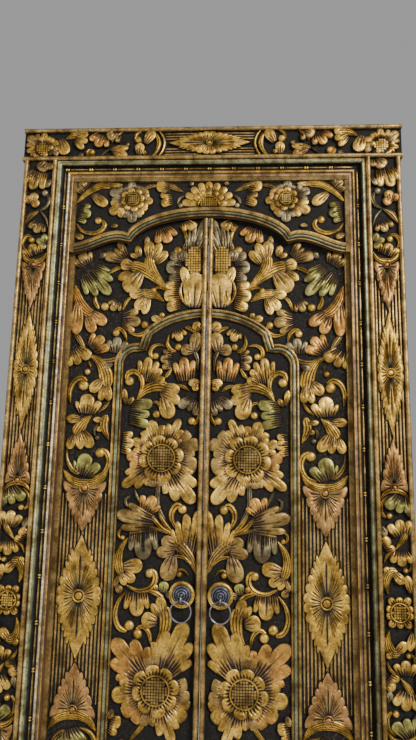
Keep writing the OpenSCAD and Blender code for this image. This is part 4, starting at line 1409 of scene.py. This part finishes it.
print("edge at the middle, the cusp and the side",
      [round(valance_edge(x), 1) for x in (0, CUSP, sight_half)])

# %% Vine on the valance


def valance_field(c):
    """One half of the valance: a flower on its branch between the arch and the corner."""
    leaf(c, (300, 2050), (318, 2064), 34, (0.9, 1, 0.8), "brown", spread=30)
    branch(c, [(320, 2016), (300, 2038), (268, 2058), (234, 2062)], (6, 13, 15),
           [((284, 2036), (248, 2008), 26), ((250, 2058), (212, 2060), 12)], "gold", 3)
    leaf(c, (314, 1990), (287, 1984), 44, (0.85, 1, 0.85), "green", spread=28)
    scroll(c, [(318, 1960), (305, 1943), (280, 1936), (259, 1943), (250, 1958), (256, 1970)], 9,
           (266, 1969), 8, "gold")
    corolla(c, (184, 2022), 24, (
        (22, 54, 62, ROUND, "stone"), (-32, 54, 66, ROUND, "gold"), (-90, 56, 60, ROUND, "stone"),
        (186, 56, 50, ROUND, "gold"), (84, 66, 47, ROUND, "stone"), (230, 40, 48, BROAD, "gold"),
        (136, 40, 44, BROAD, "brown")))
    stem(c, [(162, 2050), (142, 2057), (122, 2059)], (8, 9, 5), "brown", 2)
    flower(c, (184, 2022), 15, 31, 8, "gold", 4.4)
    leaf(c, (92, 2040), (122, 2034), 60, (0.9, 0.8, 1), "gold", spread=26)
    stem(c, [(116, 2066), (90, 2056), (62, 2042)], (8, 14, 4), "brown", 3)
    scroll(c, [(58, 2032), (71, 2025), (76, 2011)], 6, (68, 2006), 6, "stone")
    petal(c, (322, 1932), (300, 1924), 13, "brown")
    petal(c, (236, 1953), (218, 1955), 9, "brown")
    petal(c, (48, 2058), (38, 2064), 9, "stone")


print("field: valance_field")

# %% Carve the valance
valance = Carving("carved_valance", valance_ground, VALANCE_RELIEF, 21)
span = np.linspace(-sight_half, sight_half, 81)
low_edge = [valance_edge(x) - ARCH_BAND for x in span]
points = []
for y in (valance_ground, valance_high[1]):
    points += [(x, y, z) for x, z in zip(span, low_edge)]
    points += [(x, y, valance_high[2]) for x in span]
n = len(span)
faces = []
for base in (0, 2 * n):
    faces += [[base + i, base + i + 1, base + n + i + 1, base + n + i] for i in range(n - 1)]
faces += [[i, i + 1, 2 * n + i + 1, 2 * n + i] for i in range(n - 1)]
faces += [[n + i, n + i + 1, 3 * n + i + 1, 3 * n + i] for i in range(n - 1)]
faces += [[0, n, 3 * n, 2 * n], [n - 1, 2 * n - 1, 4 * n - 1, 3 * n - 1]]
valance.add(points, faces, "black", 0.0)
for s in (-1, 1):
    x0, x1 = sorted([s * (sight_half - FILLET), s * sight_half])
    block(valance, (x0, valance_low[1], valance_edge(sight_half) - ARCH_BAND),
          (x1, valance_ground + 1, valance_high[2] - FILLET - 1), "brown", 0.34)
block(valance, (-sight_half, valance_low[1], valance_high[2] - FILLET),
      (sight_half, valance_ground + 1, valance_high[2]), "brown", 0.34)
arch_line = np.array([(x, valance_edge(x) - ARCH_BAND / 2) for x in span])
ARCH_PROFILE = [  # across the band: offset, height, gilt, paint
    (-1.0, 0.2, 0.2, "brown"), (-0.9, 0.45, 0.7, "brown"), (-0.7, 0.4, 0.3, "brown"),
    (-0.55, 0.35, 0.0, "black"), (-0.4, 0.6, 0.7, "verdigris"), (-0.2, 0.7, 1.0, "glaze"),
    (0.0, 0.6, 0.6, "verdigris"), (0.12, 0.45, 0.0, "black"), (0.25, 0.7, 0.7, "gold"),
    (0.5, 0.95, 1.0, "pale"), (0.75, 0.98, 1.0, "pale"), (0.92, 0.8, 0.8, "gold"),
    (1.0, 0.3, 0.1, "brown"),
]
profiled(valance, arch_line, ARCH_BAND, ARCH_PROFILE)
for s in (-1, 1):
    valance_field(valance.place(s))
valance.place()
print("band round the arch", len(arch_line), "points")

# %% Half flower over the valance's crown
DISC_RADIUS, DISC_RING = 22, 26
for reach, count in ((66, 9), (46, 7)):
    cuts = np.linspace(-88, 88, count + 1)
    fan(valance, (0, CROWN - 1), (0.0, 1.0), cuts, [reach] * count, reach * 0.45, "gold",
        slits=count * 4, seam=0.45, notch=0.3, rise=0.8 + 6.0 / reach, core="stone")
half_ring = [(DISC_RING * math.sin(t), CROWN + DISC_RING * math.cos(t))
             for t in np.linspace(-1.5, 1.5, 15)]
stem(valance, half_ring, (4, 4, 4), "gold", 0, 1.15)
hatch(valance, lambda a, z: math.hypot(a, z - CROWN) < DISC_RADIUS and z > CROWN + 1,
      (-22.5, CROWN + 3), (23, CROWN + 25), 5.0, lambda a, z: valance.relief * 0.95, "gold")
valance.mesh("frame", "gilded_carving", carved_gold, cross_timber, "arched_valance")

# %% [markdown]
# ## Border boards
#
# Four carved boards frame the door. The side boards repeat the crescent and lozenge of the
# leaves above and below a round hatched flower, and a folded flower fills each top corner. Each
# board could be drawn whole, but the carver used half a pattern and turned it over, so one
# field makes both halves of a side board. The bottom board is the top one turned over.

# %% Vine on a side board
SIDE_LINE = 410  # middle of a side board, out from the middle of the door


def side_field(c):
    """Upper half of a side board, from the corner down to the round flower."""
    petal(c, (396, 2112), (411, 2090), 26, "brown")
    petal(c, (388, 2110), (384, 2092), 16, "brown")
    leaf(c, (414, 2088), (424, 2044), 44, (0.9, 1, 0.8), "gold", spread=24)
    petal(c, (382, 2066), (393, 2046), 12, "stone")
    petal(c, (427, 2006), (440, 2021), 17, "orange")
    petal(c, (424, 2006), (418, 2030), 19, "gold")
    petal(c, (427, 2014), (409, 1998), 18, "orange")
    scroll(c, [(405, 1988), (391, 1995), (383, 2011), (387, 2027)], 8, (395, 2031), 7.5, "stone")
    stem(c, [(440, 1952), (426, 1974), (407, 1986)], (5, 15, 5), "brown", 2)
    stem(c, [(403, 1985), (388, 1966), (382, 1944)], (4, 6, 4), "stone", 0)
    leaf(c, (402, 1956), (411, 1932), 34, (0.85, 1, 0.9), "brown")
    scroll(c, [(432, 1884), (441, 1904), (433, 1922), (420, 1922)], 7, (419, 1912), 7)
    for tip in ((406, 1911), (389, 1925), (392, 1889)):
        petal(c, (386, 1904), tip, 14, "green")
    leaf(c, (410, 1874), (420, 1898), 42, (0.9, 1, 0.8), "gold", spread=30)
    crescent(c, SIDE_LINE, 1858, 31, 24, -1, 14, 2)
    flutes(c, np.linspace(384, 436, 8), 1362, 1842)
    lozenge(c, (SIDE_LINE, 1600), 30, 140, 11)
    half_bud(c, (SIDE_LINE, 1850), -1, 30, 110, 9, "rust")
    half_bud(c, (SIDE_LINE, 1352), 1, 30, 106, 9, "rust")
    crescent(c, SIDE_LINE, 1346, 31, 20, 1, 11, 1)
    leaf(c, (425, 1334), (411, 1301), 34, (1, 0.9, 0.85), "green")
    scroll(c, [(396, 1334), (383, 1320), (381, 1300), (390, 1290)], 7, (398, 1293), 6)
    leaf(c, (423, 1252), (417, 1283), 38, (0.95, 1, 0.95), "bright")
    stem(c, [(432, 1258), (424, 1244), (409, 1226)], (14, 11, 4), "gold", 3)
    leaf(c, (384, 1228), (400, 1240), 30, (0.9, 1), "gold", spread=30)
    leaf(c, (420, 1221), (420, 1194), 36, (0.9, 1, 0.9), "gold")
    scroll(c, [(438, 1202), (439, 1188), (431, 1180)], 5, (427, 1183), 5)
    stem(c, [(384, 1198), (390, 1211), (403, 1221)], (4, 7, 4), "gold", 1)
    branch(c, [(390, 1136), (386, 1160), (394, 1177), (410, 1179)], (4, 15, 18),
           [((402, 1179), (422, 1158), 20), ((394, 1176), (384, 1188), 14)], "gold", 3)
    petal(c, (437, 1138), (429, 1172), 15, "gold")
    petal(c, (382, 1272), (388, 1252), 12, "stone")
    petal(c, (438, 1292), (434, 1312), 9, "stone")


print("field: side_field")

# %% Side boards


def round_flower(c, centre):
    """Ten uneven petals round a ringed and hatched disc."""
    cuts = np.linspace(0, 360, 11)
    fan(c, centre, (1.0, 0.0), cuts, [29, 37, 31, 36, 29, 29, 36, 31, 37, 29], 17, "gold",
        slits=30, seam=0.4, wrap=True, notch=0.45, core="stone", dark_core=0.1)
    dome(c, centre, 19, "black", low=0.6, top=0.8, turns=26)
    ring(c, centre, 18.5, 3.2, "bright", low=0.5, top=0.98, turns=30)
    hatch(c, lambda a, z: math.hypot(a - centre[0], z - centre[1]) < 15.5,
          (centre[0] - 15, centre[1] - 15), (centre[0] + 16, centre[1] + 16), 5.0,
          lambda a, z: c.relief * 0.9, "gold")


def side_board(name, side, seed, replaced):
    """One side board: its plank, two fillets, a round flower and a field either side of it."""
    c = Carving(name, board_ground, BOARD_RELIEF, seed)
    x0, x1 = sorted([side * rebate_half, side * -side_low[0]])
    block(c, (x0, board_ground, side_low[2]), (x1, side_high[1], side_high[2]))
    for low in (x0, x1 - FILLET):
        fillet(c, low, low + FILLET, side_low[2], side_high[2], side_low[1], board_ground + 1,
               False)
    side_field(c.place(side))
    round_flower(c, (412, door_middle))
    side_field(c.place(side, up=-1, z0=2 * door_middle))
    c.mesh("frame", "gilded_carving", border_gold, upright_timber, replaced)


side_board("left_border", -1, 31, "left_board")
side_board("right_border", 1, 32, "right_board")

# %% Vine on the top and bottom boards
FLUTE_HEIGHTS = (2131, 2138, 2145, 2171, 2178, 2185)
CORNER_FLOWER, BUD_ALONG, BUD_OVER = (406, 2144), 17, 14


def end_field(c):
    """Half of the top board, from the middle lozenge out to the corner flower."""
    stem(c, [(143, 2195), (129, 2179), (123, 2158), (129, 2137), (143, 2121)],
         (3, 8, 11, 8, 3), "gold", 1)
    stem(c, [(126, 2195), (114, 2178), (109, 2158), (114, 2138), (126, 2121)],
         (3, 5, 6, 5, 3), "gold", 0)
    for z in FLUTE_HEIGHTS:
        stem(c, [(20, z), (60, z), (108, z)], (4, 4, 4), "pale", 0, 0.36)
    petal(c, (156, 2158), (137, 2190), 22, "gold")
    petal(c, (152, 2130), (160, 2136), 10, "gold")
    scroll(c, [(163, 2193), (179, 2182), (182, 2168)], 6, (173, 2168), 8, "gold")
    petal(c, (170, 2128), (168, 2157), 20, "bright")
    stem(c, [(214, 2190), (226, 2180), (239, 2164)], (4, 9, 4), "brown", 1)
    leaf(c, (224, 2186), (241, 2168), 28, (0.8, 1), "brown")
    petal(c, (242, 2143), (198, 2147), 14, "gold")
    petal(c, (236, 2139), (200, 2126), 17, "orange")
    stem(c, [(263, 2127), (253, 2138), (244, 2144)], (4, 6, 4), "stone", 1)
    leaf(c, (261, 2181), (275, 2154), 40, (0.85, 1, 0.9), "orange")
    scroll(c, [(278, 2128), (293, 2127), (298, 2138), (291, 2146)], 6, (286, 2137), 7)
    branch(c, [(352, 2172), (336, 2182), (316, 2186)], (4, 15, 18),
           [((328, 2184), (298, 2184), 22), ((330, 2177), (299, 2164), 20),
            ((330, 2170), (308, 2146), 17)], "gold", 2)
    petal(c, (364, 2172), (350, 2132), 26, "gold")
    petal(c, (320, 2126), (306, 2130), 8, "stone")
    petal(c, (205, 2162), (196, 2152), 9, "brown")
    corolla(c, CORNER_FLOWER, 17, (
        (42, 56, 56, ROUND, "brown"), (-4, 48, 42, ROUND, "gold"), (90, 52, 46, ROUND, "gold"),
        (140, 44, 42, BROAD, "gold"), (186, 40, 40, BROAD, "brown"), (-46, 40, 30, BROAD, "gold")))
    petal(c, (420, 2158), (390, 2128), 34, "black", rise=0.9, veins=0)

    def in_bud(a, z):
        out, up = a - CORNER_FLOWER[0], z - CORNER_FLOWER[1]
        along, over = (out + up) / math.sqrt(2), (out - up) / math.sqrt(2)
        return (along / BUD_ALONG) ** 2 + (over / BUD_OVER) ** 2 < 1

    hatch(c, in_bud, (386, 2124), (428, 2166), 5.6, lambda a, z: c.relief * 0.98, "gold")
    dome(c, (388, 2150), 8, "gold", low=0.4, top=1.0)
    dome(c, (400, 2131), 8, "gold", low=0.4, top=1.0)


print("field: end_field")

# %% Top and bottom boards


def end_board(name, up, seed, replaced):
    """The top board (up 1) or the bottom one (up -1)."""
    c = Carving(name, board_ground, BOARD_RELIEF, seed)
    low = top_low[2] if up == 1 else door_height - top_high[2]
    high = low + top_high[2] - top_low[2]
    block(c, (top_low[0], board_ground, low), (top_high[0], top_high[1], high))
    for z in (low, high - FILLET):
        fillet(c, z, z + FILLET, top_low[0], top_high[0], top_low[1], board_ground + 1, True)
    offset = 0.0 if up == 1 else door_height
    for side in (-1, 1):
        end_field(c.place(side, up, z0=offset))
    c.place(1, up, z0=offset)
    lozenge(c, (0, 2158), 100, 31, 8, "gold", lying=True)
    c.mesh("frame", "gilded_carving", border_gold, cross_timber, replaced)


end_board("top_border", 1, 33, "top_board")
end_board("bottom_border", -1, 34, "bottom_board")

# %% [markdown]
# ## Stepped mouldings
#
# Inside the boards runs a moulding in steps: a fat half round glazed green, a dark hollow with a
# row of beads and reels, a thin gilt bead, and a plain lip. A joiner planes the section and cuts
# the lengths at 45 degrees. Here one section is carried from end to end, and each of its points
# starts later the further it lies from the boards, which makes the mitre without a cutter. The
# paint changes from step to step, so it is a list beside the section. That paint holds painted
# light: a pale painted highlight on the half round and painted shade on its inner side, a lit copy
# of the roll and bead for the left length and a shaded copy for the right, as if the light came
# from the right, and reels painted pale to lift them out of the roll's shadow.

# %% Steps of the moulding
MOULDING_FRONT, MOULDING_BACK = moulding_low[1], moulding_high[1]
HOLLOW = MOULDING_FRONT + 15  # floor of the dark hollow
BEAD_LINE = 19.5  # middle of the row of beads, out from the boards
# Paints round the half round, from the boards' side to the inner side, over a green glaze: a pale
# lime painted highlight on the round and painted shade darkening to teal and black on its inner
# side. The first list is the lit copy for the left length, the last the shaded copy for the right,
# and the middle one serves the top and the bottom.
ROLL_PAINTED_LIT = ["brown", "gold", "lime_highlight", "lime_highlight", "lime_highlight", "glaze", "glaze", "teal", "teal"]
ROLL_TOP = ["brown", "pale", "glaze", "lime_highlight", "glaze", "glaze", "glaze", "verdigris", "black"]
ROLL_PAINTED_SHADE = ["brown", "pale", "brown", "verdigris", "glaze", "verdigris", "black", "black",
             "black"]


def moulding_steps(roll, bead):
    """Profile of a moulding: distance from the board, depth, paint and gilt."""
    steps = [(0.0, MOULDING_BACK, "black", 0.0), (0.5, MOULDING_FRONT + 6.5, roll[0], 0.3)]
    steps += [(v, y, p, 1.0) for (v, y), p in zip(
        half_round(7.0, 6.3, MOULDING_FRONT + 6.5, MOULDING_FRONT, 8), roll)]
    steps += [(14.0, HOLLOW, "black", 0.0), (15.0, HOLLOW, "black", 0.0),
              (24.0, HOLLOW, "black", 0.0), (25.2, HOLLOW - 0.5, "brown", 0.2)]
    steps += [(v, y, bead, 1.0) for v, y in half_round(
        28.0, 2.8, HOLLOW - 1, HOLLOW - 4, 6)]
    steps += [(31.5, HOLLOW + 1, "plum", 0.0), (33, HOLLOW + 1, "plum", 0.7),
              (36.0, HOLLOW + 1, "plum", 0.7), (36.8, HOLLOW + 1, "gold", 0.8),
              (38.0, HOLLOW + 2, "gold", 0.6), (38.0, MOULDING_BACK, "black", 0.0)]
    return steps


print("steps across the moulding", len(moulding_steps(ROLL_PAINTED_LIT, "cream_highlight")))

# %% Lengths of moulding with beads and reels
BEAD_RELIEF = 4.6
REEL_WIDTH, BEAD_WIDTH, BEAD_LENGTH = 4.4, 7.5, 4.4
END_GAP = 4  # from the mitre to the first bead


def moulding(name, side, lying, seed, bead, steps, replaced):
    """One length of moulding. side is -1 for left or bottom, 1 for right or top."""
    c = Carving(name, HOLLOW, BEAD_RELIEF, seed)
    near, far = (top_low[2], rebate_half) if lying else (rebate_half, top_low[2])

    def across(v):
        if lying:
            return near - v if side == 1 else door_height - near + v
        return side * (near - v)

    def ends(v, which):
        if lying:
            return across(v), which * (far - v)
        return across(v), (far - v) if which == 1 else door_height - far + v

    profile = [row[:2] for row in steps]
    paints, gilts = [row[2] for row in steps], [row[3] for row in steps]
    bar(c, profile, lambda v: ends(v, -1), lambda v: ends(v, 1), lying, paints, gilts)
    row_line = across(BEAD_LINE)
    low, high = ends(BEAD_LINE, -1)[1] + END_GAP, ends(BEAD_LINE, 1)[1] - END_GAP
    count = round((high - low) / bead)
    pitch = (high - low) / count
    for i in range(count):
        start = low + i * pitch
        # The reels are painted pale, lighter than their own violet brown: painted light that lifts
        # them out of the roll's shadow.
        reel = (8, pitch - 6, REEL_WIDTH, "pale", 0.8)
        beads = [(s0, s0 + BEAD_LENGTH, BEAD_WIDTH, "bright", 1.0) for s0 in (-4.2, 1.2)]
        for s0, s1, width, paint, rise in [reel] + beads:
            places = (start + s0, (start + s0 + start + s1) / 2, start + s1)
            line = [(v, row_line) if lying else (row_line, v) for v in places]
            stem(c, line, (width * 0.6, width, width * 0.6), paint, 0, rise, step=6)
    c.mesh("frame", "painted_moulding", carved_gold, upright_timber, replaced)


# The left length takes the lit roll and a cream bead as a painted highlight; the right takes the
# shaded roll and a brown bead as painted shade.
painted_lit_steps, painted_shade_steps = moulding_steps(ROLL_PAINTED_LIT, "cream_highlight"), moulding_steps(ROLL_PAINTED_SHADE, "brown")
moulding("left_bead_moulding", -1, False, 41, 95, painted_lit_steps, "left_moulding")
moulding("right_bead_moulding", 1, False, 42, 95, painted_shade_steps, "right_moulding")
cross = moulding_steps(ROLL_TOP, "gold")
moulding("top_bead_moulding", 1, True, 43, 57, cross, "top_moulding")
moulding("bottom_bead_moulding", -1, True, 44, 57, cross, "bottom_moulding")

# %% [markdown]
# ## Studio
#
# Relief is read by its shadows. A light beside the camera would flatten it and a bare lamp
# would leave hard edges, so a large soft light stands high on the right and rakes across the
# boards, with a weaker one on the left and one behind. The floor and the surround are pale.
# The camera stands a little right of the middle at about chest height, close to the door,
# looking up by ten degrees and rolled by one.

# %% Floor and room
FLOOR_REACH = 8
corners = [(-FLOOR_REACH, -FLOOR_REACH, 0), (FLOOR_REACH, -FLOOR_REACH, 0),
           (FLOOR_REACH, FLOOR_REACH, 0), (-FLOOR_REACH, FLOOR_REACH, 0)]
floor_mesh = bpy.data.meshes.new("studio_floor")
floor_mesh.from_pydata(corners, [], [[0, 1, 2, 3]])
floor = bpy.data.objects.new("studio_floor", floor_mesh)
bpy.context.scene.collection.objects.link(floor)
floor_paint, _, floor_shader, _ = blank("pale_floor", rough=0.8)
floor_shader.inputs["Base Color"].default_value = (0.72, 0.72, 0.70, 1)
floor_mesh.materials.append(floor_paint)

world = bpy.data.worlds.new("pale_room")
world.use_nodes = True
surround = world.node_tree.nodes["Background"]
surround.inputs["Color"].default_value = (0.86, 0.86, 0.87, 1)
surround.inputs["Strength"].default_value = 0.42
bpy.context.scene.world = world
print("floor", 2 * FLOOR_REACH, "m across")

# %% Lights


def soft_light(name, place, aim, size, power):
    """A square area light at a place, turned towards aim."""
    data = bpy.data.lights.new(name, "AREA")
    data.shape, data.size, data.energy = "SQUARE", size, power
    light = bpy.data.objects.new(name, data)
    light.location = place
    light.rotation_mode = "QUATERNION"
    light.rotation_quaternion = (Vector(aim) - Vector(place)).to_track_quat("-Z", "Y")
    bpy.context.scene.collection.objects.link(light)


centre = (cad_low + cad_high) / 2
aim = (centre.x, cad_low.y, centre.z + 0.1)
soft_light("high_right", (1.7, -2.2, 2.7), aim, 1.1, 120)
soft_light("left_fill", (-2.2, -2.6, 1.6), aim, 1.8, 34)
soft_light("behind", (0.8, 2.6, 2.6), (centre.x, centre.y, centre.z), 1.8, 60)

print("lights", len(bpy.data.lights))

# %% Camera
EYE = Vector((0.0802, -1.3347, 1.3802))
YAW, PITCH, ROLL = math.radians(-3.27), math.radians(9.84), math.radians(1.14)
FILM_WIDTH, LENS = 36, 28.2
ahead = Vector((math.sin(YAW) * math.cos(PITCH), math.cos(YAW) * math.cos(PITCH),
                math.sin(PITCH)))
level = Vector((math.cos(YAW), -math.sin(YAW), 0))
upward = level.cross(ahead)
right = math.cos(ROLL) * level + math.sin(ROLL) * upward
top = -math.sin(ROLL) * level + math.cos(ROLL) * upward
camera_data = bpy.data.cameras.new("eye_level")
camera_data.sensor_width = FILM_WIDTH
camera_data.lens = LENS
camera = bpy.data.objects.new("eye_level", camera_data)
turn = Matrix((right, top, -ahead)).transposed().to_4x4()
camera.matrix_world = Matrix.Translation(EYE) @ turn
bpy.context.scene.collection.objects.link(camera)
bpy.context.scene.camera = camera
print("camera", [round(v, 3) for v in EYE])
